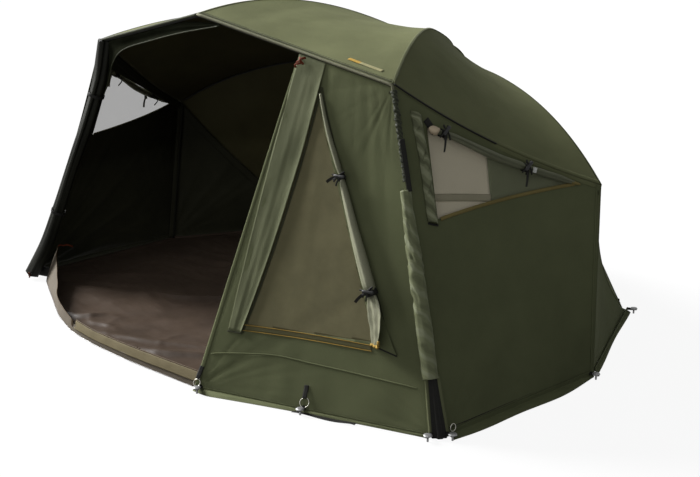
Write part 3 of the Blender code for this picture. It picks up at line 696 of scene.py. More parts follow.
def ribbon(name, points, normals, widths, thick, looks, across=4, crown=0.0, wave=None):
    """A flat strip along a line. It lies on its normals' side, crown higher in its middle.
    wave(share, across) lifts it further."""
    count = len(points)
    widths = per_point(widths, count)
    rows = []
    for i, point in enumerate(points):
        along = heading_at(points, i)
        normal = square_to(along, normals[i])
        side = along.cross(normal)
        row = []
        for layer in (1, 0):
            for f in (k / across if layer else 1 - k / across for k in range(across + 1)):
                lift = crown * 4 * f * (1 - f) + thick * layer + (wave(i / (count - 1), f) if wave else 0)
                row.append(point + side * (f - 0.5) * widths[i] + normal * lift)
        rows.append(row)
    travel = travel_along(points)
    shape = skin(rows, lambda first, i, k: (k * (widths[first] / across), travel[i]), True)
    bmesh.ops.recalc_face_normals(shape, faces=shape.faces)
    return new_object(name, shape, *looks)


def frame_matrix(origin, axis, side):
    z = axis.normalized()
    y = z.cross(side).normalized()
    x = y.cross(z)
    return Matrix.Translation(origin) @ Matrix((x, y, z)).transposed().to_4x4()


def lathe(name, profile, where, looks, steps=20):
    """A profile of (radius, height), turned about the Z of where. It closes on the axis at both ends."""
    shape = bmesh.new()
    rings = []
    for radius, height in profile:
        if radius < 1e-6:
            rings.append([shape.verts.new(where @ Vector((0, 0, height)))] * steps)
            continue
        turns = [2 * math.pi * k / steps for k in range(steps)]
        rings.append([shape.verts.new(where @ Vector((radius * math.cos(a), radius * math.sin(a), height)))
                      for a in turns])
    for a, b in zip(rings, rings[1:]):
        for k in range(steps):
            m = (k + 1) % steps
            corners = [a[k], a[m], b[m], b[k]]
            unique = [c for n, c in enumerate(corners) if c not in corners[:n]]
            if len(unique) > 2:
                shape.faces.new(unique)
    bmesh.ops.recalc_face_normals(shape, faces=shape.faces)
    return new_object(name, shape, *looks, sharp=40)


def block(name, size, where, looks, edge=0.001):
    """A small moulded block with rounded edges."""
    shape = bmesh.new()
    bmesh.ops.create_cube(shape, size=1)
    bmesh.ops.scale(shape, vec=size, verts=shape.verts)
    bmesh.ops.bevel(shape, geom=shape.edges[:], offset=edge, segments=2, affect="EDGES", profile=0.6)
    bmesh.ops.transform(shape, matrix=where, verts=shape.verts)
    return new_object(name, shape, *looks, sharp=50)


def joined(name, pieces):
    """One object from several meshes."""
    shape = bmesh.new()
    looks = list(dict.fromkeys(look for piece in pieces for look in piece.data.materials))
    for piece in pieces:
        part = bmesh.new()
        part.from_mesh(piece.data)
        for face in part.faces:
            face.material_index = looks.index(piece.data.materials[face.material_index])
        spare = bpy.data.meshes.new("spare")
        part.to_mesh(spare)
        part.free()
        shape.from_mesh(spare)
        bpy.data.meshes.remove(spare)
        bpy.data.objects.remove(piece)
    return new_object(name, shape, *looks, sharp=45)


# Folds and creases
MIDDLE = Vector((0, 0, 0.5))        # a point inside the shelter


def beat(x, y, z):
    return noise.noise(Vector((x, y, z)))


def ridge(wave, narrow):
    """1 where the wave is 0, falling to 0 on both sides."""
    return 1 - min(1.0, abs(wave) * narrow)


def soft(point, scale, seed):
    return noise.noise(point * scale + Vector((seed, seed * 1.7, -seed)))


def edge_share(x, width):
    """0 at both ends of 0..1, rising to 1 over width."""
    return smooth_step(min(x, 1 - x) / width)


def fan(anchor, across, rise, count, depth, reach, seed, start=0.02):
    """Folds that spread from a point at which the cloth is held."""
    def lift(point):
        away = point - anchor
        x, y = away.dot(across), away.dot(rise)
        far = math.hypot(x, y)
        turn = math.atan2(y, x)
        wave = beat(turn * count, seed, far * 1.2)
        height = depth * (wave * 1.2 + ridge(wave, 3.2) * 0.6 - 0.3)
        return height * smooth_step(far / start) * math.exp(-far / reach)
    return lift


STEP = 0.01     # the step in u or v over which a surface's directions are measured


def wall_frame(surface, u, v):
    """Across, rise and outward directions of a wall at (u, v)."""
    across = (surface(u, v + STEP) - surface(u, v - STEP)).normalized()
    rise = (surface(u + STEP, v) - surface(u - STEP, v)).normalized()
    out = across.cross(rise).normalized()
    return across, rise, out if out.dot(surface(u, v) - MIDDLE) > 0 else -out


def wall_point(surface, u, v, lift):
    return surface(u, v) + wall_frame(surface, u, v)[2] * lift


def over_wall(surface, a, b, axis):
    """The wall's u and v where its x (or y) is a and its height is b."""
    u, v = 0.5, 0.5
    for _ in range(25):
        here = surface(u, v)
        du, dv = (surface(u + STEP, v) - here) / STEP, (surface(u, v + STEP) - here) / STEP
        miss = (a - here.x if axis == 1 else a - here.y, b - here.z)
        row = (du.x, dv.x) if axis == 1 else (du.y, dv.y)
        size = row[0] * dv.z - row[1] * du.z
        u += (miss[0] * dv.z - row[1] * miss[1]) / size
        v += (row[0] * miss[1] - miss[0] * du.z) / size
    return u, v


def inner_share(u, v, side, foot, top):
    """0 at a sheet's edges, rising to 1 inside them."""
    return edge_share(v, side) * smooth_step(u / foot) * smooth_step((1 - u) / top)


# Roof
SIDES = (1, "right"), (-1, "left")
ROOF_SHEETS = {}
ROOF_EASE = 1.08        # how much longer a panel is cut than its ribs' chords
NET_THICK = 0.0004
ON_CLOTH = 0.0034       # how far a sewn-on strip's underside is from the cloth's surface line


def sheet(name, follow, held, rests_on, surface, cells, outward, looks, lift=None, thick=0.0012, base=CLOTH,
          slot="wall_cloth", replaces=(), flat=None, area=None, **grid):
    """A sheet of cloth on the body that it follows; its flat size is worked out, but not kept."""
    obj = cloth_grid(name, surface, cells, outward, looks, lift, thick, base, **grid)
    place(obj, follow, slot, replaces)
    declare(obj, held, rests_on, flat, area)
    return obj


def make_roof():
    for index, name in enumerate(PANELS):
        part, label = name.split("_")
        cells = (120, 90) if name in ("front_right", "side_right", "front_left") else (70, 50)
        ribs = RING[index], RING[(index + 1) % 8]

        def lift(u, v, point):
            ease = smooth_step(u / 0.08) * smooth_step((1 - u) / 0.03)
            rise = 0.0020 * soft(point, 5.0, 3.1) + 0.0007 * soft(point, 16.0, 8.4)
            for rib in ribs:
                off = point - rib.tip
                rise += 0.0030 * soft(off, 15.0, 1.7) * math.exp(-off.length / 0.14)
            stretch = 0.0012 * math.sin(22 * v + 3 * soft(point, 2.0, 5.5)) * u * u
            return 0.001 + (rise + stretch) * edge_share(v, 0.10) * ease

        held = [lambda u, i=index + n: seat_normal(i % 8, roof_station(u)) for n in (0, 1)]
        follow = {"front": "front", "side": "front_" + label, "rear": "side_" + label, "back": "rear_" + label}[part]
        width = (eave(index, 0) - eave(index, 1)).length
        length = max((rib.tip - rib.pivot).length for rib in ribs) * ROOF_EASE
        ROOF_SHEETS[name] = sheet("canopy_" + name, follow, "stretched", ["rib_" + rib.name for rib in ribs],
                                  lambda u, v: roof_point(index, u, v), cells, -AXIS, (ROOF, UNDER), lift,
                                  slot="roof_cloth", replaces=["roof_" + name],
                                  flat=(round(width, 3), round(length, 3)), edges=held, blend=0.5)


# Walls and their net windows
CORNER_OUT = (OUT_RIGHT + OUT_FRONT.normalized()).normalized()
FLANK_OUT = (OUT_RIGHT + OUT_REAR.normalized()).normalized()
WALLS = {}


def held_edges(first, last, side):
    return [lambda u, way=turned(side)(way): way for way in (first, last)]


def drawn_edge(u, v):
    """The left side wall, whose front edge is free and drawn back in a curve."""
    return mirrored(side_wall(u, v)) + Vector((0, 0.030 * 4 * u * (1 - u) * (1 - v) ** 4, 0))


def wall_folds(surface, *corners):
    """Folds that spread from a wall's corners: where, way across, way up, count, depth, reach, seed."""
    across, rise, _ = wall_frame(surface, 0.5, 0.5)
    return [fan(corner, across * way, rise * up, *shape) for corner, way, up, *shape in corners]


def wall_lift(folds, strength, even):
    def lift(u, v, point):
        home = Vector((abs(point.x), point.y, point.z))
        return inner_share(u, v, 0.06, 0.04, 0.05) * (strength * sum(fold(home) for fold in folds) + even(home))
    return lift


def wall_and_net(kind, follow, rests_on, nodes, surface, cells, outward, lift, window, edges, net_look, net_base,
                 flats):
    """A wall with a window cut out, and the net in that window."""
    wall = sheet("wall_" + kind, follow, "stretched", [rests_on], surface, cells, outward, (WALL, LINING), lift,
                 replaces=[nodes[0]], flat=flats[0], window=window, edges=edges)
    WALLS[kind] = wall
    sheet("net_" + kind, follow, "stretched", [wall], surface, cells, outward, (net_look,), lift, NET_THICK, net_base,
          "window_net", [nodes[1]], flats[1], window=window, keep_inside=True)


def make_walls():
    folds = wall_folds(side_wall, (FOOT_CORNER, 1, 1, 9.0, 0.0060, 0.45, 2.2),
                       (FOOT_SIDE, -1, 1, 9.0, 0.0050, 0.35, 6.1), (TIP_SIDE, -1, -1, 8.0, 0.0040, 0.22, 4.4))
    rear_folds = wall_folds(rear_wall, (FOOT_SIDE, 1, 1, 8.0, 0.0050, 0.40, 7.7),
                            (FOOT_REAR, -1, 1, 8.0, 0.0040, 0.30, 1.3))
    for side, label in SIDES:
        strength = 0.35 if side > 0 else 2.2
        lift = wall_lift(folds, strength, lambda p: 0.0012 * soft(p, 6.0, 2.0)
                         + 0.0008 * soft(Vector((p.y * 9, p.z * 1.5, 0)), 1.0, 4.0))
        wall_and_net("side_" + label, "wall_" + label, "pole_upper_" + label,
                     ["side_wall_" + label, "side_net_" + label], side_wall if side > 0 else drawn_edge, (110, 90),
                     OUT_RIGHT * side, lift, (SIDE_WINDOW, 0), held_edges(CORNER_OUT, FLANK_OUT, side),
                     # the right wall's net is the copy with painted shade
                     SHADED_NET if side > 0 else SIDE_NET, 0.0012, ((1.16, 1.32), (0.70, 0.34)))
        sheet("wall_rear_" + label, "flank_" + label, "stretched", ["rib_rear_" + label], on_side(rear_wall, side),
              (60, 70), OUT_RIGHT * side, (WALL, LINING),
              wall_lift(rear_folds, 0.8 * strength, lambda p: 0.001 * soft(p, 6.0, 9.0)),
              replaces=["rear_wall_" + label], flat=(0.92, 0.82),
              edges=held_edges(FLANK_OUT, OUT_REAR.normalized(), side))

    front_folds = wall_folds(front_wall, (FOOT_PANEL, 1, 1, 9.0, 0.0045, 0.30, 5.2),
                             (FOOT_CORNER, -1, 1, 8.0, 0.0030, 0.30, 3.6),
                             (TIP_CORNER, -1, -1, 9.0, 0.0022, 0.22, 8.8))

    def front_lift(u, v, point):
        streaks = 0.0022 * soft(Vector((v * 13, u * 1.6, 0)), 1.0, 2.5)
        folds = sum(fold(point) for fold in front_folds)
        return inner_share(u, v, 0.05, 0.03, 0.04) * (folds + streaks + 0.0014 * soft(point, 7.0, 6.0))
    wall_and_net("front", "panel", "rib_front_right", ["front_panel", "front_net"], front_wall, (130, 110),
                 OUT_FRONT, front_lift, (FRONT_WINDOW, 1), held_edges(OUT_FRONT.normalized(), CORNER_OUT, 1),
                 FRONT_NET, 0.0010, ((1.12, 1.40), (0.60, 0.98)))


# Lines and small makers for the trim
def spline(values, share):
    """A smooth line through values (numbers or tuples), at a share of its steps."""
    last = len(values) - 1
    k = min(int(share * last), last - 1)
    f = share * last - k
    kind = Vector if hasattr(values[0], "__len__") else float
    a, b, c, d = (kind(values[min(max(k + n, 0), last)]) for n in (-1, 0, 1, 2))
    return 0.5 * (2 * b + (c - a) * f + (2 * a - 5 * b + 4 * c - d) * f * f + (3 * b - a - 3 * c + d) * f ** 3)


def spline_points(values, count):
    return [Vector(spline(values, k / (count - 1))) for k in range(count)]


def smooth_wall(surface, places, count, lift=0.0):
    """Points and outward directions over a wall, on a smooth line through (u, v) places."""
    uvs = [spline(places, i / (count - 1)) for i in range(count)]
    normals = [wall_frame(surface, u, v)[2] for u, v in uvs]
    return [surface(u, v) + normal * lift for (u, v), normal in zip(uvs, normals)], normals


def on_roof(index, places, count, lift):
    """Points and outward directions over a roof panel, on a smooth line through (u, v) places."""
    points, normals = [], []
    for i in range(count):
        u, v = spline(places, i / (count - 1))
        across = roof_point(index, u, v + 0.005) - roof_point(index, u, v - 0.005)
        rise = roof_point(index, u + 0.004, v) - roof_point(index, u - 0.004, v)
        normal = across.cross(rise).normalized()
        normal = normal if normal.dot(AXIS) < 0 else -normal
        points.append(roof_point(index, u, v) + normal * lift)
        normals.append(normal)
    return points, normals


def tape(name, line, width, look, follow, sheet=None, thick=0.0008, crown=0.0, slot="wall_cloth", wave=None):
    """A sewn-on strip along a line of points and normals."""
    return attach(ribbon(name, *line, width, thick, (look,), 4, crown, wave), follow, sheet, slot)


def cord(name, points, radius, look, follow, sheet=None, slot="wall_cloth", steps=8, **more):
    """A round piece that follows the frame: a cord, a piping or a roll's end."""
    return attach(tube(name, points, radius, (look,), steps, **more), follow, sheet, slot)


def rolled(name, points, sizes, turns, looks, side, wave, thick=0.0005, steps=16):
    """A rolled-up sheet: a spiral of turns round the line."""
    count, last = len(points), turns * steps
    rows = []
    for i, point in enumerate(points):
        along = heading_at(points, i)
        x = square_to(along, side)
        row = []
        for k in range(last + 1):
            angle = 2 * math.pi * k / steps
            size = sizes[i] * (0.22 + 0.78 * k / last) * (1 + wave(i / (count - 1), angle))
            row.append(point + spoke(x, along.cross(x), angle) * size)
        rows.append(row)
    length = length_of(points)
    shape = skin(rows, lambda first, i, k: (k * sizes[first] * 0.4, i * length / count))
    area = sum(face.calc_area() for face in shape.faces)
    CUTS[name] = (area / length, length, area)
    obj = new_object(name, shape, *looks)
    thicken(obj, thick)
    return obj


def ringed(centre, along, radius, count=20):
    """Points and outward directions on a circle round a line."""
    side = square_to(along, UP)
    ways = [spoke(side, along.cross(side), 2 * math.pi * k / (count - 1)) for k in range(count)]
    return [centre + way * radius for way in ways], ways


def toggle(name, centre, along, out, radius, hang, follow, sheet):
    """A tie round a roll: a webbing band, a knot of cord, a moulded toggle and a loose tail."""
    along = along.normalized()
    side = out.cross(along).normalized()
    pieces = [ribbon(name + "_band", *ringed(centre, along, radius + 0.0005), 0.024, 0.0022, (BLACK,), 3)]
    front = centre + out * (radius + 0.006)
    cords = []
    for n, lean in enumerate((0.5, -0.4, 0.1, -0.9)):
        swing = (side + along * lean).normalized()
        line = [front + swing * (0.030 * t) + out * (0.010 * (1 - t * t)) + along * (0.005 * n - 0.007)
                for t in (-1, -0.6, -0.2, 0.2, 0.6, 1)]
        cords.append(tube(name + "_cord%d" % n, line, 0.0036, (BLACK,), 6, along))
    where = frame_matrix(front + out * 0.010 + side * 0.006, (side + along * 0.5), out)
    profile = ((0, -0.024), (0.0050, -0.0235), (0.0075, -0.018), (0.0058, -0.003), (0.0058, 0.003),
               (0.0075, 0.018), (0.0050, 0.0235), (0, 0.024))
    pieces.append(lathe(name + "_barrel", profile, where, (PLASTIC,), 12))
    steps = (0, 0.2, 0.4, 0.6, 0.8, 1.0)
    tail = [front + hang * (0.060 * t) + out * (0.010 * math.sin(2.2 * t)) + UP * (-0.020 * t * t) for t in steps]
    pieces.append(ribbon(name + "_tail", tail, [(out + along * 0.5 * t).normalized() for t in steps], 0.012,
                         0.0014, (BLACK,), 2))
    return attach(joined(name, pieces + cords), follow, sheet, "moulded_black")


def ring_on(name, centre, out, radius, follow, droop=0.25):
    """A welded steel ring, hanging from its tab."""
    along = (out + UP * droop).normalized()
    return cord(name, ringed(centre, along, radius, 29)[0][:-1], 0.0016, RING_STEEL, follow, slot="peg_steel",
                side=along, closed=True)


def pleats(count, depth):
    """Gathers across a strip: wave(share along, share across)."""
    def wave(s, f):
        phase = count * s + 0.7 * beat(s * count * 0.4, f, 0)
        return depth * 4 * f * (1 - f) * (0.5 + 0.5 * math.sin(2 * math.pi * phase))
    return wave


ROLL_POINTS = 70


def roll_line(surface, places, sizes_at, ties, pinch, seat=1.0, sink=0.0):
    """Points and sizes of a rolled cover over a wall, drawn in at its ties."""
    points, sizes = [], []
    for share in (k / (ROLL_POINTS - 1) for k in range(ROLL_POINTS)):
        size = spline(sizes_at, share)
        for tie in ties:
            size *= 1 - pinch * math.exp(-((share - tie) / 0.035) ** 2)
        points.append(wall_point(surface, *spline(places, share), 0.004 + size * seat) - UP * sink)
        sizes.append(size)
    return points, sizes


def roll_wave(depth, twist, beats):
    return lambda s, a: depth * math.sin(2 * a + twist * s) + depth * beat(s * beats, math.cos(a), math.sin(a))


# Roof trim
def make_side_eaves(side, label):
    """The hems, drops and linings along one side's eaves. Each rides on the rib that its roof panel rides on."""
    shares = [n / 6 for n in range(7)] if side > 0 else [1 - n / 6 for n in range(7)]
    out, rear_out = OUT_RIGHT * side, OUT_REAR.normalized()
    at = {part: PANELS.index(part + "_" + label) for part in ("front", "side", "rear", "back")}
    sheets = {part: ROOF_SHEETS[part + "_" + label] for part in at}
    ends = (0.0, 0.992) if side > 0 else (1.0, 0.008)
    # The dark strip is painted shade for a groove along the hem; the light strip beside it is the hem's edge
    for part, u, width, look, crown in (("groove", 0.9950, 0.0080, DARK_HEM, 0.0),
                                        ("edge", 0.9875, 0.0050, SEAM, 0.0005)):
        line = on_roof(at["front"], ((u, ends[0]), (u, 0.5), (u, ends[1])), 60, ON_CLOTH)
        tape("hem_%s_%s" % (part, label), line, width, look, "front", sheets["front"], 0.0008, crown, "roof_cloth")
    line = on_roof(at["side"], [(0.992, v) for v in shares], 60, ON_CLOTH)
    tape("eave_hem_" + label, line, 0.020, ROOF, "front_" + label, sheets["side"], 0.0008, 0.0008, "roof_cloth")
    points = [roof_point(at["side"], 1.0, spline(shares, k / 59)) - UP * 0.010 + out * 0.0040 for k in range(58)]
    tape("eave_drop_" + label, (points, [out] * 58), 0.018, ROOF, "front_" + label, sheets["side"], 0.0008, 0.0,
         "roof_cloth")
    half = (0, 0.33, 0.66, 1)
    reach = [v * 0.50 for v in half] if side > 0 else [1 - v * 0.50 for v in half]
    points = [roof_point(at["side"], 1.0, spline(reach, k / 49)) + out * 0.0075 + UP * 0.001 for k in range(50)]
    cord("eave_cord_" + label, points, 0.0036, BLACK, "front_" + label, sheets["side"])
    facings = -out, -rear_out if side > 0 else -mirrored(rear_out)
    for n, (part, body, facing) in enumerate(zip(("side", "rear"), ("front_", "side_"), facings)):
        points = [roof_point(at[part], 1.0, -0.004 + 1.008 * k / 59) + facing * 0.007 for k in range(60)]
        points = [Vector((p.x, p.y, max(p.z - 0.021, 0.022))) for p in points]
        tape("eave_facing_%s_%d" % (label, n + 1), (points, [facing] * 60), 0.040, LINING, body + label,
             sheets[part], 0.0010, 0.0, "roof_cloth")
    low = [roof_point(at["back"], 1.0, k / 59) for k in range(60)]
    ways = [Vector((-p.x, HUB.y - 0.9 - p.y, 0)).normalized() for p in low]
    points = [Vector((p.x, p.y, 0.030)) + way * 0.010 for p, way in zip(low, ways)]
    tape("back_facing_" + label, (points, ways), 0.056, LINING, "rear_" + label, sheets["back"], 0.0010, 0.0,
         "roof_cloth")
    line = on_roof(at["rear"], [(0.994, v) for v in shares], 60, ON_CLOTH)
    tape("rear_hem_" + label, line, 0.018, ROOF, "side_" + label, sheets["rear"], 0.0008, 0.0006, "roof_cloth")


def make_roof_trim():
    for index, name in enumerate(PANELS):
        rib = RING[(index + 1) % 8]
        stations = [roof_station(k / 60) for k in range(61)]
        ways = [seat_normal((index + 1) % 8, t) for t in stations]
        over = [seam(index + 1, t) + way * (CLOTH + 0.0008) for t, way in zip(stations, ways)]
        tape("seam_" + rib.name, (over, ways), 0.013, SEAM, rib.name, ROOF_SHEETS[name], 0.0006, 0.0003,
             "roof_cloth")
    for side, label in SIDES:
        make_side_eaves(side, label)

    # The corded front eave, from its middle to a curl at each end
    edge = []
    for v in (-1 + 2 * k / 80 for k in range(81)):
        turn = turned(v if v else 1)
        here = turn(eave(0, abs(v)))
        out = here - turn(roof_point(0, 0.98, abs(v)))
        edge.append(here + Vector((0, out.y, out.z)).normalized() * (HEM_RADIUS + EDGE_GAP))
    curl = [edge[-1] + Vector(step)
            for step in ((0.004, 0.000, -0.008), (0.007, -0.001, -0.018), (0.010, -0.002, -0.032))]
    # Painted shade: the left half of the eave roll is the dark hem cloth, for the shade on its underside; the right
    # half is the hem's own light cloth
    for part, line, look in (("left", [mirrored(p) for p in curl[::-1]] + edge[:41], DARK_HEM),
                             ("right", edge[40:] + curl, HEM)):
        lip = tube("eave_roll_" + part, line, HEM_RADIUS, (look,), 10, wave=lambda s, a: 0.06 * beat(s * 40, a, 0))
        attach(lip, "front", ROOF_SHEETS["front_" + part], "roof_cloth", ["front_lip"] if part == "right" else [])
    under = [p + Vector((0, 0.004, -0.0085)) for p in edge]
    tape("eave_binding", (under, [Vector((0, -0.6, -0.8))] * 81), 0.010, BLACK, "front", None, 0.001, 0.0005)

    # The plain woven tab where the photograph has a maker's tag
    for name, look, shares in (("plain_tab", TAB, (0.765, 0.792, 0.825)),
                               ("plain_tab_end", PALE_TAB, (0.825, 0.88, 0.935))):
        line = on_roof(0, [(0.962 + 0.02 * (v - 0.76), v) for v in shares], 24, 0.0048)
        tape(name, line, 0.019, look, "front", ROOF_SHEETS["front_right"], 0.0008, 0.0006, "khaki_cloth",
             pleats(2, 0.0006))

    # The header inside the left half of the eave, where the rolled-back door was zipped in
    low = [(-0.985, -0.725, 1.010), (-0.940, -0.722, 1.085), (-0.878, -0.732, 1.185), (-0.757, -0.749, 1.262),
           (-0.470, -0.795, 1.333), (-0.177, -0.842, 1.396), (0.134, -0.880, 1.452)]
    top = [(-0.990, -0.715, 1.060), (-0.995, -0.712, 1.160), (-0.985, -0.712, 1.268), (-0.800, -0.742, 1.318),
           (-0.480, -0.795, 1.385), (-0.180, -0.842, 1.445), (0.134, -0.862, 1.462)]
    band = sheet("header_band", "header", "hung", ["rib_front"],
                 lambda u, v: Vector(spline(low, v)).lerp(Vector(spline(top, v)), u), (10, 90),
                 Vector((0.1, -1, -0.2)), (HEADER,),
                 lambda u, v, p: 0.004 * soft(Vector((v * 14, u * 3, 0)), 1.0, 3.0) + 0.003 * math.sin(9 * u + 3 * v),
                 0.0008, 0.0)
    cord("header_piping", [p + Vector((0, -0.004, 0)) for p in spline_points(low, 81)], 0.0030, HEADER_EDGE,
         "header", band)


def make_cap():
    where = frame_matrix(HUB, -AXIS, OUT_RIGHT)
    low = CROWN_BACK + 0.0004
    profile = ((0, 0.024), (0.020, 0.0235), (0.050, 0.020), (0.080, 0.012), (0.097, 0.0060), (0.1005, 0.0030),
               (0.0985, 0.0008), (0.090, 0), (0, 0))
    cap = lathe("crown_cover", [(radius, low + height) for radius, height in profile], where, (ROOF,), 48)
    place(cap, "ground", "roof_cloth", ["crown_cap"])
    ring = [where @ Vector((0.090 * math.cos(a), 0.090 * math.sin(a), low + 0.0095))
            for a in (2 * math.pi * k / 48 for k in range(48))]
    cord("crown_stitch", ring, 0.0010, SEAM, "ground", None, "roof_cloth", 6, closed=True)


# Front infill panel's trim
def make_front_tapes(panel):
    piping = (0.209, 0.140), (0.219, 0.426), (0.2245, 0.742)
    lines = (       # name, (u, v) places, points, lift, width, look, thickness, crown
        ("zip_tape", ((0.186, 0.1445), (0.5, 0.2080), (0.8, 0.2675), (0.925, 0.2920)), 50, 0.0036, 0.008, DARK_HEM,
         0.0012, 0.0006),
        # A dark strip across the zip cover's foot: painted shadow under its end
        ("zip_end", ((0.183, 0.072), (0.183, 0.105), (0.183, 0.142)), 12, 0.004, 0.007, DARK_HEM, 0.002, 0.0),
        ("panel_edge", ((0.002, 0.010), (0.30, 0.008), (0.65, 0.006), (0.97, 0.004)), 60, 0.0036,
         [0.020 - 0.010 * k / 59 for k in range(60)], WALL, 0.0008, 0.0006),
        ("lower_seam", ((0.108, 0.030), (0.117, 0.084), (0.139, 0.300), (0.138, 0.474), (0.136, 0.642),
                        (0.132, 0.855), (0.130, 0.930)), 60, ON_CLOTH, 0.006, WALL, 0.0006, 0.0018),
        ("window_piping_1", piping, 50, 0.0040, 0.0034, OCHRE, 0.0005, 0.0016),
        ("window_piping_2", [(u - 0.0165, v) for u, v in piping], 50, 0.0040, 0.0034, OCHRE, 0.0005, 0.0016),
        ("window_base", ((0.2010, 0.140), (0.2110, 0.426), (0.2165, 0.742)), 50, ON_CLOTH, 0.020, BINDING, 0.0006,
         0.0004),
        # A dark strip along the roll's right side: painted shadow of the roll
        ("window_edge", ((0.925, 0.296), (0.80, 0.440), (0.66, 0.575), (0.50, 0.692), (0.36, 0.776),
                         (0.300, 0.800)), 60, ON_CLOTH, 0.007, DARK_HEM, 0.0008, 0.0006))
    for name, places, count, lift, width, look, thick, crown in lines:
        tape(name, smooth_wall(front_wall, places, count, lift), width, look, "panel", panel, thick, crown)


def make_front_roll(panel):
    """The rolled-up window cover and its two ties."""
    places = ((0.905, 0.300), (0.800, 0.422), (0.690, 0.546), (0.530, 0.662), (0.372, 0.755))
    points, sizes = roll_line(front_wall, places, (0.0065, 0.0110, 0.0165, 0.0235, 0.0300), (0.5, 1.0), 0.35, 0.9)
    roll = rolled("front_cover_roll", points, sizes, 3, (ROLL,), OUT_FRONT, roll_wave(0.10, 5, 7))
    place(roll, "panel", "wall_cloth", ["front_window_roll"])
    declare(roll, "folded", [panel])
    for n, (k, hang) in enumerate(((35, (-0.95, -0.1, -0.15)), (68, (-0.8, -0.2, -0.45)))):
        out = wall_frame(front_wall, *spline(places, k / (ROLL_POINTS - 1)))[2]
        toggle("front_tie_%d" % (n + 1), points[k], points[k + 1] - points[k - 1], out, sizes[k] + 0.002,
               Vector(hang).normalized(), "panel", roll)


def make_front_tail(panel):
    """The roll's loose end: a twisted fall of cloth with the ochre corner of the window's base, and a free corner."""
    def tail_point(u, v):
        f = 1 - u
        middle = spline(((0.374, 0.757), (0.335, 0.770), (0.285, 0.774), (0.228, 0.766)), f)
        width = 0.040 + 0.070 * math.sin(math.pi * min(f * 0.75, 0.5)) - 0.030 * f * f
        twist = 0.4 + 0.9 * f
        across = (v - 0.5) * width
        lift = 0.022 + 0.012 * math.sin(3.0 * f) + across * math.sin(twist) * 0.8
        here = wall_point(front_wall, middle[0], middle[1], lift)
        return here + wall_frame(front_wall, *middle)[0] * across * math.cos(twist * 0.6)

    def tail_lift(u, v, point):
        fold = 0.0050 * math.sin(2 * math.pi * (2.2 * v + 0.4 * u))
        return fold * (0.4 + 0.6 * (1 - u)) + 0.003 * soft(point, 30, 2)
    tail = sheet("front_cover_tail", "panel", "gathered", [panel], tail_point, (40, 26), OUT_FRONT, (ROLL,),
                 tail_lift, 0.0006, 0.0)
    line = [tail_point(0.0, k / 19) + OUT_FRONT * (0.004 + 0.0050 * math.sin(2 * math.pi * 2.2 * k / 19))
            for k in range(20)]
    line += [line[-1] + Vector((0.006, 0, 0.012 * t)) for t in (0.5, 1.0, 1.6, 2.3)]
    cord("cover_corner", line, 0.0055, OCHRE, "panel", tail, "khaki_cloth")

    def corner_point(u, v):
        top, left, right = (0.365, 0.765), (0.226, 0.765), (0.213, 0.858)
        low = (left[0] + (right[0] - left[0]) * v, left[1] + (right[1] - left[1]) * v)
        return wall_point(front_wall, top[0] * u + low[0] * (1 - u), top[1] * u + low[1] * (1 - u), 0)
    flap = sheet("cover_free_corner", "panel", "hung", [panel], corner_point, (24, 18), OUT_FRONT, (WALL, BLACK),
                 lambda u, v, p: 0.010 * (1 - u) ** 2 + 0.004 * soft(p, 22, 5) * (1 - u), 0.0008, 0.0050)
    # A black cord along the free corner's curled lower edge: painted shadow under it
    line = [corner_point(0.0, k / 19) + OUT_FRONT * 0.012 for k in range(20)]
    cord("free_corner_edge", line, 0.0036, BLACK, "panel", flap)


def make_front_trim():
    panel = WALLS["front"]

    def strip_point(u, v):
        low, high = 0.074 - 0.072 * u, 0.139 + 0.156 * u
        return wall_point(front_wall, 0.186 + 0.809 * u, low + (high - low) * v, 0)

    def strip_lift(u, v, point):
        folds = sum(0.0012 * math.exp(-((v - at) / 0.10) ** 2) for at in (0.38 + 0.08 * u, 0.70 - 0.05 * u))
        top = smooth_step((1 - u) / 0.10)
        return 0.002 + top * (folds + 0.0030 * soft(Vector((v * 2.2, u * 7, 0)), 1.0, 1.1) + 0.007 * v ** 8)
    sheet("zip_cover", "panel", "stretched", [panel], strip_point, (90, 24), OUT_FRONT, (STRIP,), strip_lift,
          0.0008, ON_CLOTH, replaces=["zip_strip"])
    make_front_tapes(panel)
    make_front_roll(panel)
    make_front_tail(panel)

    # Rings at the hem, each on a webbing tab
    for n, (u, v, radius) in enumerate(((0.018, 0.008, 0.016), (0.024, 0.470, 0.020))):
        out = wall_frame(front_wall, u, v)[2]
        centre = wall_point(front_wall, u, v, 0.008)
        ring = ring_on("hem_ring_%d" % (n + 1), centre, out, radius, "panel")
        points, ways = smooth_wall(front_wall, ((u + 0.050, v), (u + 0.030, v), (u + 0.012, v)), 14, 0.0045)
        bent = [p + out * (0.0075 * smooth_step(k / 13)) for k, p in enumerate(points)]
        tape("hem_tab_%d" % (n + 1), (bent, ways), 0.020, BLACK, "panel", panel, 0.0016)
        foot = [centre + out * 0.004 + Vector((0, -0.006 * t, 0)) - UP * (radius * 0.7 + 0.010 * t)
                for t in (0, 0.5, 1.0)]
        tape("hem_loop_%d" % (n + 1), (foot, [out] * 3), 0.014, BLACK, "panel", panel, 0.0014)
        trim(panel, ring)


# Skirts: the strips of cloth that lie on the ground outside the walls
SKIRT_FLAT = 0.7        # the share of a skirt that lies on the ground; the rest stands up along the wall
SKIRT_OUT = 0.0060


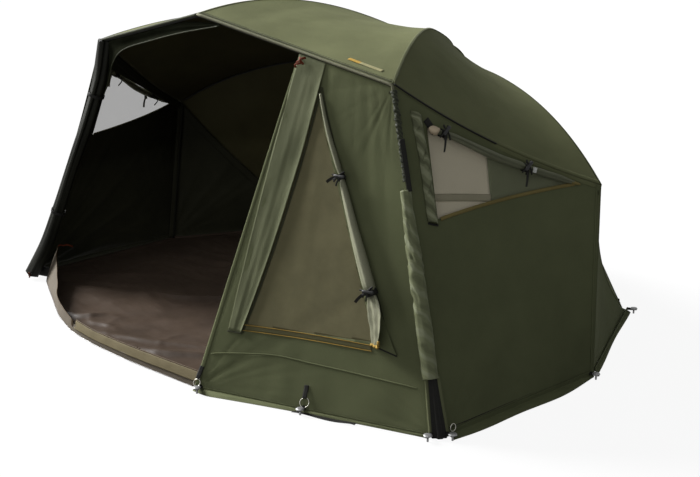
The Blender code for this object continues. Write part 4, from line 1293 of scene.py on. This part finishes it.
def skirt(name, foot, out, wide, follow, rests_on, length, rise=0.030, seed=0.0):
    """A skirt along foot(v), wide(v) metres wide towards out. length sets its cells and ripples."""
    def surface(u, v):
        here = foot(v)
        if u > SKIRT_FLAT:
            height = 0.010 + (rise - 0.010) * (u - SKIRT_FLAT) / (1 - SKIRT_FLAT)
            return Vector((here.x, here.y, 0)) + out * SKIRT_OUT + UP * height
        f = 1 - u / SKIRT_FLAT
        ripple = 0.5 + 0.5 * beat(v * length * 9, f * 1.5, seed)
        height = 0.010 * (1 - f) ** 1.5 + 0.0022 + 0.008 * ripple * math.sin(math.pi * f)
        return Vector((here.x, here.y, 0)) + out * (SKIRT_OUT + wide(v) * f) + UP * height
    sheet(name, follow, "laid", [rests_on], surface, (20, max(24, int(length * 60))), UP, (WALL, BLACK), None,
          0.0008, 0.0)


def make_skirts():
    for side, label in SIDES:
        turn = turned(side)
        skirt("skirt_side_" + label, lambda v, t=turn: t(FOOT_CORNER.lerp(FOOT_SIDE, 0.035 + 0.95 * v)),
              turn(Vector((1, 0.03, 0)).normalized()),
              lambda v: 0.030 + 0.018 * math.sin(math.pi * v) + 0.006 * math.sin(11 * v) - 0.012 * v ** 6,
              "wall_" + label, "wall_side_" + label, 0.93, seed=side)
        skirt("skirt_rear_" + label, lambda v, t=turn: t(FOOT_SIDE.lerp(FOOT_REAR, 0.02 + 0.95 * v)),
              turn(OUT_REAR.normalized()), lambda v: 0.012 + 0.004 * math.sin(7 * v + 1), "flank_" + label,
              "wall_rear_" + label, 0.88, seed=side * 2)
        index, start, stop = (3, 0.03, 1.0) if side > 0 else (4, 0.0, 0.97)
        skirt("skirt_back_" + label, lambda v, i=index, a=start, b=stop: eave(i, a + (b - a) * v),
              Vector((side * 0.36, 0.93, 0)).normalized(), lambda v: 0.030 + 0.008 * math.sin(9 * v),
              "rear_" + label, "canopy_back_" + label, 1.18, seed=side * 3)
    skirt("skirt_front", lambda v: FOOT_PANEL.lerp(FOOT_CORNER, 0.005 + 0.955 * v), OUT_FRONT.normalized(),
          lambda v: 0.006 + 0.040 * (1 - v) ** 2.5 * smooth_step((v + 0.04) / 0.14), "panel", "wall_front", 1.08,
          rise=0.020, seed=7.0)
    line = [(0.88, -1.150, 0.003), (0.98, -1.120, 0.0035), (1.09, -1.080, 0.003), (1.145, -1.060, 0.003)]
    tape("ground_flap", (spline_points(line, 20), [UP] * 20), 0.030, BLACK, "panel", None, 0.0012, 0.0,
         wave=lambda s, f: 0.003 * math.sin(9 * s) * f)


# The right front corner
def corner_wrap(share, w, reach, lift):
    """A point round the corner: w -1 is reach metres along the infill panel, +1 along the side wall."""
    if w < 0:
        return wall_point(front_wall, share, 1 + w * reach, lift)
    return wall_point(side_wall, share, w * reach / 0.95, lift)


def make_corner():
    along = (corner_line(1) - corner_line(0)).normalized()
    out = square_to(along, CORNER_OUT)
    across = along.cross(out)
    walls = ["wall_front", "wall_side_right"]

    def sleeve_point(u, v):
        centre = corner_line(0.165 + 0.530 * u) + out * 0.002 - Vector((0.70, 0.70, 0)) * 0.008
        return centre + spoke(out, across, math.radians(105) * (2 * v - 1)) * (0.0320 - 0.0120 * u)

    def sleeve_lift(u, v, point):
        bunch = math.exp(-((u - 0.60) / 0.20) ** 2) + 0.5 * math.exp(-((u - 0.25) / 0.10) ** 2) + 0.12
        wave = beat(u * 22 + 5 * v, v * 2.4, 1.5)
        return 0.0080 * bunch * (wave + ridge(wave, 2.6) * 0.8) + 0.0025 * beat(v * 6, u * 5, 7.0)
    sleeve = sheet("corner_cover", "wall_right", "gathered", walls, sleeve_point, (110, 30), out, (SLEEVE,),
                   sleeve_lift, 0.0010, 0.0, replaces=["corner_sleeve"])

    def gather(u, v):
        return corner_line(0.720 + 0.262 * u) + spoke(out, across, math.radians(95) * (2 * v - 1)) * 0.0115

    def gather_lift(u, v, point):
        pulse = beat(u * 30 + v, v * 1.5, 3.0)
        return 0.0042 * pulse + 0.0015 * math.sin(2 * math.pi * (13 * u + pulse) + 3 * v)
    sheet("corner_ruffle", "wall_right", "gathered", walls, gather, (120, 16), out, (RUFFLE,), gather_lift, 0.0008,
          0.0)
    points = [corner_line(0.690 + 0.150 * k / 29) + out * 0.0175 + across * (0.006 - 0.003 * k / 29)
              for k in range(30)]
    tape("corner_strap", (points, [out] * 30), 0.020, BLACK, "wall_right", sleeve, 0.002, 0.0006)

    # A black sheet in the opening at the corner's foot: painted shade for the dark inside seen through it, between
    # its olive edges
    def opening(u, v):
        w, reach, share = 2 * v - 1, 0.030 - 0.010 * u, 0.172 * u
        if abs(w) > 0.12:
            return corner_wrap(share, w, reach, 0.0)
        near = math.copysign(0.12, w or 1)
        ends = corner_wrap(share, near, reach, 0.0), corner_wrap(share, -near, reach, 0.0)
        return ends[0].lerp(ends[1], 0.5 - abs(w) / 0.24)

    def opening_lift(u, v, point):
        return 0.0030 + 0.0050 * (0.5 + 0.5 * math.sin(2 * math.pi * (2.5 * v + 0.1))) * (1 - 0.6 * u)
    opening_shade = sheet("corner_gusset", "wall_right", "hung", walls, opening, (30, 36), out, (BLACK,), opening_lift,
                   0.0010, 0.0025, edges=[lambda u: OUT_FRONT.normalized(), lambda u: OUT_RIGHT], blend=0.9)
    for n, w in enumerate((-1, 1)):
        points = [corner_wrap(0.175 * k / 19, w, 0.034 - 0.010 * k / 19, 0.006) for k in range(20)]
        cord("gusset_edge_%d" % (n + 1), points, 0.0080, SEAM, "wall_right", opening_shade)
    ring_on("corner_ring", corner_wrap(0.020, 1, 0.058, 0.016), OUT_RIGHT, 0.015, "wall_right", droop=0.1)


# Side windows' trim
def make_side_strips(surface, side, label, wall, follow):
    """The gathered strip in front of the window, the window's bindings and the wall's linings."""
    def strip_point(u, v):
        at = spline(((0.622, 0.117), (0.720, 0.115), (0.813, 0.114), (0.900, 0.104), (0.950, 0.099)), u)
        return wall_point(surface, at[0], at[1] + (v - 0.5) * 0.055, 0)

    def strip_lift(u, v, point):
        belly = 4 * v * (1 - v)
        fold = beat(u * 13 - v * 2.5, v * 1.2, 4.4)
        return 0.016 * belly + belly * (0.014 * fold + 0.007 * ridge(fold, 3)) + 0.001
    sheet("window_ruffle_" + label, follow, "gathered", [wall], strip_point, (90, 20), OUT_RIGHT * side,
          (GATHERED,), strip_lift, 0.0008, ON_CLOTH)
    end = smooth_wall(surface, ((0.617, 0.090), (0.618, 0.117), (0.620, 0.146)), 10, 0.004)
    tape("ruffle_end_" + label, end, 0.008, BLACK, follow, wall, 0.002)
    low, high = SIDE_WINDOW[1:]
    base = [over_wall(side_wall, low[0] + (high[0] - low[0]) * f, low[1] + (high[1] - low[1]) * f - 0.004, 0)
            for f in (0.02 + 1.02 * k / 6 for k in range(7))]
    tape("side_piping_" + label, smooth_wall(surface, base, 60, ON_CLOTH), 0.015, DULL_OCHRE, follow, wall, 0.0006,
         0.0026)
    inner = [surface(0.0, 0.004 + 0.992 * k / 59) for k in range(60)]
    inner = [Vector((p.x - side * 0.007, p.y, 0.017)) for p in inner]
    tape("foot_facing_" + label, (inner, [OUT_RIGHT * -side] * 60), 0.032, LINING, follow, wall, 0.0010)
    # A black patch on the wall at the window's top corner, by the roll's end: painted shade for the dark corner and
    # the gap there
    shade = smooth_wall(surface, ((0.952, 0.150), (0.938, 0.172), (0.922, 0.190)), 12, 0.0036)
    tape("window_shade_" + label, shade, 0.030, BLACK, follow, wall, 0.0008)
    line = smooth_wall(surface, [(u, 0.980) for u in (0.02, 0.35, 0.70, 0.97)], 60, ON_CLOTH)
    tape("wall_rear_seam_" + label, line, 0.008, WALL, follow, wall, 0.0006, 0.0006)


def make_side_roll(surface, side, label, wall, follow):
    """The rolled-up cover over the window, with its ties, its buckle and its ends."""
    out_side = OUT_RIGHT * side
    places = ((0.930, 0.172), (0.944, 0.290), (0.947, 0.464), (0.953, 0.560), (0.962, 0.660), (0.971, 0.780),
              (0.976, 0.868))
    points, sizes = roll_line(surface, places, (0.0150, 0.0185, 0.0210, 0.0200, 0.0175, 0.0140, 0.0080),
                              (0.09, 0.63), 0.28, sink=0.006)
    roll = rolled("side_cover_roll_" + label, points, sizes, 3, (SIDE_ROLL_LOOK,), out_side, roll_wave(0.12, 4, 8))
    place(roll, follow, "wall_cloth", ["side_window_roll_" + label])
    declare(roll, "folded", [wall])
    for n, k in enumerate((6, 43)):
        out = wall_frame(surface, *spline(places, k / (ROLL_POINTS - 1)))[2]
        toggle("side_tie_%s_%d" % (label, n + 1), points[k], points[k + 1] - points[k - 1], out, sizes[k] + 0.002,
               Vector((0.1 * side, -0.3, -0.95)).normalized(), follow, roll)
        inside = [surface(*spline(places, k / (ROLL_POINTS - 1))) - out * 0.006 - UP * (0.012 + 0.045 * t)
                  + Vector((0, 0.018 * math.sin(3.5 * t), 0)) for t in (0, .2, .4, .6, .8, 1)]
        tape("inner_tie_%s_%d" % (label, n + 1), (inside, [-out] * 6), 0.008, BLACK, follow, wall, 0.0015)
    where = frame_matrix(points[46] + out_side * 0.020, points[47] - points[45], out_side)
    buckle = block("side_buckle_" + label, (0.006, 0.022, 0.016), where, (BUCKLE,), 0.0015)
    attach(buckle, follow, roll, "moulded_black")
    start, way = points[0], (points[1] - points[0]).normalized()
    cord("side_roll_end_" + label, [start - way * t for t in (-0.022, -0.014, -0.004, 0.006, 0.014, 0.020)],
         [0.0150, 0.0172, 0.0168, 0.0150, 0.0105, 0.004], PALE_ROLL if side > 0 else SIDE_ROLL_LOOK, follow, roll,
         steps=18, side=OUT_RIGHT, wave=lambda s, a: 0.16 * math.sin(3 * a + 6 * s) + 0.10 * math.sin(7 * s + a))
    start, way = points[-1], (points[-1] - points[-2]).normalized()
    cord("side_roll_tip_" + label, [start + way * t for t in (-0.010, 0.0, 0.012, 0.024, 0.034)],
         [0.0070, 0.0078, 0.0070, 0.0055, 0.002], DULL_OCHRE, follow, roll, steps=10, side=OUT_RIGHT)


def make_side_trim():
    for side, label in SIDES:
        for make in (make_side_strips, make_side_roll):
            make(on_side(side_wall, side), side, label, WALLS["side_" + label], "wall_" + label)
    # The pale blind that hangs behind the front part of the right window, with its hem band, and an olive backing
    right = WALLS["side_right"]
    hung = {}
    for name, look, slot, reach, start, width in (
            ("window_blind", PALE, "window_net", 0.345, 0.145, 0.315),
            ("window_backing", BACKING, "wall_cloth", 0.36, 0.46, 0.44)):
        hung[name] = sheet(name, "wall_right", "hung", [right],
                           lambda u, v: wall_point(side_wall, 0.62 + reach * u, start + width * v, -0.008),
                           (24, 24), OUT_RIGHT, (look,), lambda u, v, p: 0.0015 * soft(p, 12, 3), 0.0006, 0.0,
                           slot=slot)
    line = smooth_wall(side_wall, ((0.7075, 0.148), (0.7450, 0.307), (0.7815, 0.462)), 30, -0.0055)
    tape("blind_hem", line, 0.030, BLIND_HEM, "wall_right", hung["window_blind"], 0.0006)


# Left front: the door rolled back along its pole
def make_door():
    stand = [(-1.415, -0.950, 0.020), (-1.318, -0.902, 0.205), (-1.243, -0.863, 0.405), (-1.155, -0.819, 0.644),
             (-1.078, -0.782, 0.837), (-1.010, -0.748, 1.029), (-0.985, -0.728, 1.135), (-0.962, -0.712, 1.284)]
    widths = (0.038, 0.036, 0.034, 0.033, 0.035, 0.037, 0.040, 0.041)
    points, sizes = spline_points(stand, 90), [spline(widths, k / 89) for k in range(90)]

    def folds(s, a):
        wave = 0.10 * math.cos(5 * a + 3.0 * s) + 0.05 * math.cos(9 * a - 5 * s)
        return wave + 0.10 * beat(s * 5, math.cos(a) * 1.5, math.sin(a) * 1.5)
    roll = rolled("door_rolled_back", points, sizes, 4, (DOOR,), Vector((0.7, -0.7, 0)), folds, 0.0006, 24)
    place(roll, "door", "wall_cloth", ["door_roll_left"])
    declare(roll, "folded", ["pole_upper_left"])
    for n, k in enumerate((24, 62)):
        line = ringed(points[k], (points[k + 1] - points[k - 1]).normalized(), sizes[k] + 0.0035)
        attach(ribbon("door_tie_%d" % (n + 1), *line, 0.016, 0.0015, (BLACK,), 3), "door", roll)
    loop = [Vector((-1.385, -0.990, 0.012))
            + Vector((0.010 * math.sin(6.3 * t), 0.004 * t, 0.028 * math.sin(3.14 * t)))
            for t in (0, 0.15, 0.3, 0.5, 0.7, 0.85, 1.0)]
    cord("corner_orange_loop", loop, 0.0028, ORANGE, "door", None, "khaki_cloth")
    foot = spline_points(((-1.445, -0.915, 0.030), (-1.400, -0.905, 0.030), (-1.345, -0.888, 0.030)), 12)
    tape("left_foot_flap", (foot, [Vector((0.35, -0.93, 0))] * 12), 0.056, BLACK, "wall_left", WALLS["side_left"],
         0.0012)


# Groundsheet
LIP_LINE = [(-1.372, -0.890), (-1.290, -0.945), (-1.150, -1.015), (-1.011, -1.081), (-0.880, -1.145),
            (-0.752, -1.204), (-0.543, -1.271), (-0.351, -1.298), (-0.160, -1.304), (0.034, -1.302), (0.440, -1.280)]
LIP_HEIGHTS = (0.165, 0.125, 0.092, 0.076, 0.066, 0.060, 0.056, 0.055, 0.057, 0.060, 0.064)
FRONT_LINE = [(-1.44, -0.88), *LIP_LINE, (0.80, -1.135), (1.44, -0.90)]
BACK_LINE = [(-1.490, 0.03), (-1.300, 0.46), (-1.110, 0.845), (-0.55, 1.055), (0, 1.19), (0.55, 1.055),
             (1.110, 0.845), (1.300, 0.46), (1.490, 0.03)]
WRINKLES = (        # from, to, width, height
    ((-0.68, -0.640), (-0.30, -0.440), 0.028, 0.020), ((-0.40, -0.480), (0.10, -0.330), 0.026, 0.012),
    ((-0.14, -1.190), (0.24, -1.000), 0.028, 0.019), ((-0.42, -1.180), (0.20, -0.930), 0.024, 0.014),
    ((-0.74, -1.130), (-0.58, -1.030), 0.026, 0.015), ((-0.62, -1.110), (-0.44, -1.120), 0.022, 0.010),
    ((-1.30, -0.80), (-0.95, -0.45), 0.035, 0.009), ((-1.20, -0.90), (-0.70, -0.72), 0.040, 0.008),
    ((-1.10, -0.10), (-0.60, 0.05), 0.050, 0.009), ((-0.95, -0.55), (-0.45, -0.85), 0.045, 0.007),
    ((-0.2, -0.7), (0.5, -0.5), 0.05, 0.009), ((0.3, -0.2), (1.1, 0.1), 0.05, 0.008),
    ((-0.4, 0.3), (0.5, 0.5), 0.06, 0.009))


def line_at(places, x):
    """The y of a line of (x, y) places at x."""
    for a, b in zip(places, places[1:]):
        if a[0] <= x <= b[0]:
            return a[1] + (b[1] - a[1]) * ((x - a[0]) / (b[0] - a[0]))
    return places[0][1] if x < places[0][0] else places[-1][1]


def wrinkled(point):
    """The height of the groundsheet's laid wrinkles at a point."""
    rise = 0
    here = Vector((point.x, point.y, 0))
    for a, b, width, height in WRINKLES:
        start, along = Vector((*a, 0)), Vector((b[0] - a[0], b[1] - a[1], 0))
        share = (point - start).dot(along) / along.length_squared
        near = start + along * min(max(share, 0), 1)
        far = (here - near).dot(along.normalized().cross(UP)) - 0.020 * math.sin(5 * share)
        fade = math.exp(-((max(share - 1, 0, -share)) * along.length / 0.05) ** 2)
        fade *= 0.4 + 0.6 * math.sin(math.pi * min(max(share, 0.05), 0.95))
        rise += height * fade * math.exp(-(far / width) ** 2)
    return rise


def make_groundsheet():
    def surface(u, v):
        front, back = (1.440 * (2 * v - 1), 1.490 * (2 * v - 1))
        front = Vector((front, line_at(FRONT_LINE, front), 0.0042))
        return front.lerp(Vector((back, line_at(BACK_LINE, back), 0.0042)), u)

    def lift(u, v, point):
        rise = 0.004 * soft(point, 2.2, 1.0) + 0.0022 * soft(point, 7.0, 3.0)
        crease = ridge(beat(point.x * 2.6, point.y * 3.4, 5.0), 5)
        rise += 0.0030 * crease * crease + wrinkled(point)
        inner = inner_share(u, v, 0.02, 0.012, 0.03)
        turned_up = 0.010 * (1 - edge_share(v, 0.012)) + 0.010 * (1 - smooth_step((1 - u) / 0.022))
        return max(rise * inner, -0.0025 * inner) + turned_up
    ground = sheet("ground_cloth", "ground", "laid", ["wall_side_right", "wall_side_left"], surface, (200, 260), UP,
                   (GROUND,), lift, 0.0011, 0.0, "groundsheet_pvc", ["groundsheet"], (2.98, 2.49), 5.95)

    def outer(u, v):
        x, y = spline(LIP_LINE, v)
        share = u * (1 - 0.54 * smooth_step((v - 0.59) / 0.06))
        sway = 0.006 * beat(v * 9, share, 2.0) * share
        curl = 0.045 * (1 - smooth_step(v / 0.50)) * share
        height = 0.0050 + spline(LIP_HEIGHTS, v) * share
        return Vector((x + curl, y + 0.004 + curl * 0.9 + 0.006 * share * share + sway, height))
    lower = sheet("lip_outer", "ground", "hung", [ground], outer, (16, 130), Vector((0, -1, 0)), (TAUPE, BROWN),
                  lambda u, v, p: 0.002 * soft(p, 14, 4) * u, 0.0012, 0.0, "khaki_cloth", ["groundsheet_lip"])

    def band(u, v):
        v = 0.62 + 0.38 * v
        x, y = spline(LIP_LINE, v)
        height = 0.0050 + spline(LIP_HEIGHTS, v) * (0.36 + 0.64 * u) + 0.003 * math.sin(3 * u)
        return Vector((x, y + 0.0060 + 0.012 * u, height))
    upper = sheet("lip_band", "ground", "hung", [lower], band, (10, 100), Vector((0, -1, 1)), (KHAKI, BROWN),
                  lambda u, v, p: 0.0018 * soft(p, 16, 8), 0.0014, 0.004, "khaki_cloth")

    line = [band(1.0, k / 79) + Vector((0, 0.001, 0.003)) for k in range(80)]
    cord("lip_piping", line, 0.0030, BROWN, "ground", upper, "khaki_cloth")
    cord("lip_edge", [outer(1.0, 0.61 * k / 59) for k in range(60)], 0.0026, BROWN, "ground", lower, "khaki_cloth")
    marks = [("lip_tab", lower, (0.004, 0.016, 0.042), 0.001, outer(1.0, 0.605) + Vector((0.004, -0.004, -0.010)),
              Vector((0.5, -0.2, 1)))]
    marks += [("lip_tack_%d" % (n + 1), upper, (0.003, 0.004, 0.010), 0.0008, Vector((x, -1.262, 0.058)), UP)
              for n, x in enumerate((-0.02, 0.00))]
    for name, on, size, edge, at, axis in marks:
        where = frame_matrix(at, axis, Vector((0, -1, 0)))
        attach(block(name, size, where, (BROWN,), edge), "ground", on, "khaki_cloth")
    tip = outer(1.0, 0.0)
    hook = [tip + Vector(step) for step in ((0.0, 0.0, -0.006), (0.010, 0.006, 0.006), (0.028, 0.018, 0.004),
                                            (0.046, 0.030, 0.010), (0.060, 0.046, 0.002), (0.050, 0.060, -0.008))]
    cord("lip_hook", spline_points(hook, 24), 0.0042, ORANGE, "ground", lower, "khaki_cloth")


# Orange webbing where the infill panel's zip ends under the eave, and the interior's tapes
def make_accents():
    for n, (u, v, lean) in enumerate(((0.985, 0.020, 0.4), (0.975, 0.045, -0.5), (0.990, 0.065, 0.1))):
        start = wall_point(front_wall, u, v, 0.010)
        across, rise, out = wall_frame(front_wall, u, v)
        line = [start + across * (0.010 * math.sin(5 * t + n)) - rise * 0.028 * t + out * (0.010 * math.sin(3.1 * t))
                + across * lean * 0.02 * t for t in (0, .15, .3, .45, .6, .75, .9, 1)]
        tape("zip_pull_%d" % (n + 1), (line, [out] * 8), 0.009, ORANGE, "panel", None, 0.0014, slot="khaki_cloth")
    for side, label in SIDES:
        turn = turned(side)
        foot, top, inward = turn(FOOT_SIDE), turn(TIP_SIDE), turn(-FLANK_OUT).normalized()
        points = [foot.lerp(top, 0.01 + 0.97 * k / 39) + inward * 0.015 for k in range(40)]
        tape("inner_corner_" + label, (points, [inward] * 40), 0.034, LINING, "flank_" + label, None, 0.001, 0.004,
             wave=lambda s, f: 0.003 * math.sin(7 * s + 9 * f))
        points = [p + inward * 0.010 + turn(Vector((0.0, 0.012, 0))) for p in points]
        tape("inner_strap_" + label, (points, [inward] * 40), 0.012, DOOR, "flank_" + label, None, 0.0014, 0.0008)


# Pegs: a steel pin with a pressed head, in the webbing loop that ties it to the hem
PEG_PROFILE = ((0, 0.0310), (0.0080, 0.0308), (0.0150, 0.0295), (0.0175, 0.0265), (0.0172, 0.0245),
               (0.0120, 0.0230), (0.0062, 0.0225), (0.0048, 0.0200), (0.0042, 0.0170), (0.0042, 0.0006), (0, 0.0006))


PEG_REACH = 0.034       # from the wall's foot to the pin
LOOP_BACK = 0.012       # from the pin to the middle of its webbing loop


def make_peg(name, surface, v, side=1, replaces=()):
    face = wall_point(surface, 0.009, v, 0.004)
    out = wall_frame(surface, 0.01, v)[2]
    face, out = turned(side)(Vector((face.x, face.y, 0.012))), turned(side)(Vector((out.x, out.y, 0)).normalized())
    spot = face + out * PEG_REACH
    pin = lathe(name + "_pin", PEG_PROFILE, Matrix.Translation((spot.x, spot.y, 0)), (STEEL,), 24)
    across = out.cross(UP)
    line = [spot - out * LOOP_BACK + out * 0.0235 * math.cos(a) + across * 0.0075 * math.sin(a)
            + UP * (0.0115 + 0.0015 * math.cos(a)) for a in (2 * math.pi * k / 32 for k in range(33))]
    ways = [(p - spot + out * LOOP_BACK).normalized() for p in line]
    loop = ribbon(name + "_loop", line, ways, 0.013, 0.0014, (BLACK,), 3)
    place(joined(name, [pin, loop]), "ground", "peg_steel", replaces)


def make_pegs():
    for side, label in SIDES:
        for kind, surface, v in (("side", side_wall, 0.97), ("corner", side_wall, 0.03), ("rear", rear_wall, 0.97)):
            end = "%s_%s" % (kind, label)
            make_peg("ground_peg_" + end, surface, v, side, ["peg_" + end])
    make_peg("ground_peg_panel", front_wall, 0.03, replaces=["peg_panel"])
    make_peg("ground_peg_front", front_wall, 0.968)
    make_peg("ground_peg_middle", front_wall, 0.470)


def dress_nodes():
    """Gives the CAD nodes that show their own looks."""
    looks = {"crown": PLASTIC, "runner": PLASTIC, "centre_post": TUBES, "rib": RODS, "stretcher": TUBES,
             "pole_upper": TUBES, "pole_lower": TUBES, "pole_collar": PLASTIC, "pole_lever": PLASTIC}
    names = [rib.name for rib in RING]
    for start, look in looks.items():
        ends = names if start in ("rib", "stretcher") else ("right", "left") if start.startswith("pole") else [""]
        for end in ends:
            for material in bpy.data.objects[start + "_" * bool(end) + end].material_slots:
                material.material = look


for make in (make_roof, make_walls, make_roof_trim, make_cap, make_front_trim, make_skirts, make_corner,
             make_side_trim, make_door, make_groundsheet, make_accents, make_pegs, dress_nodes):
    make()
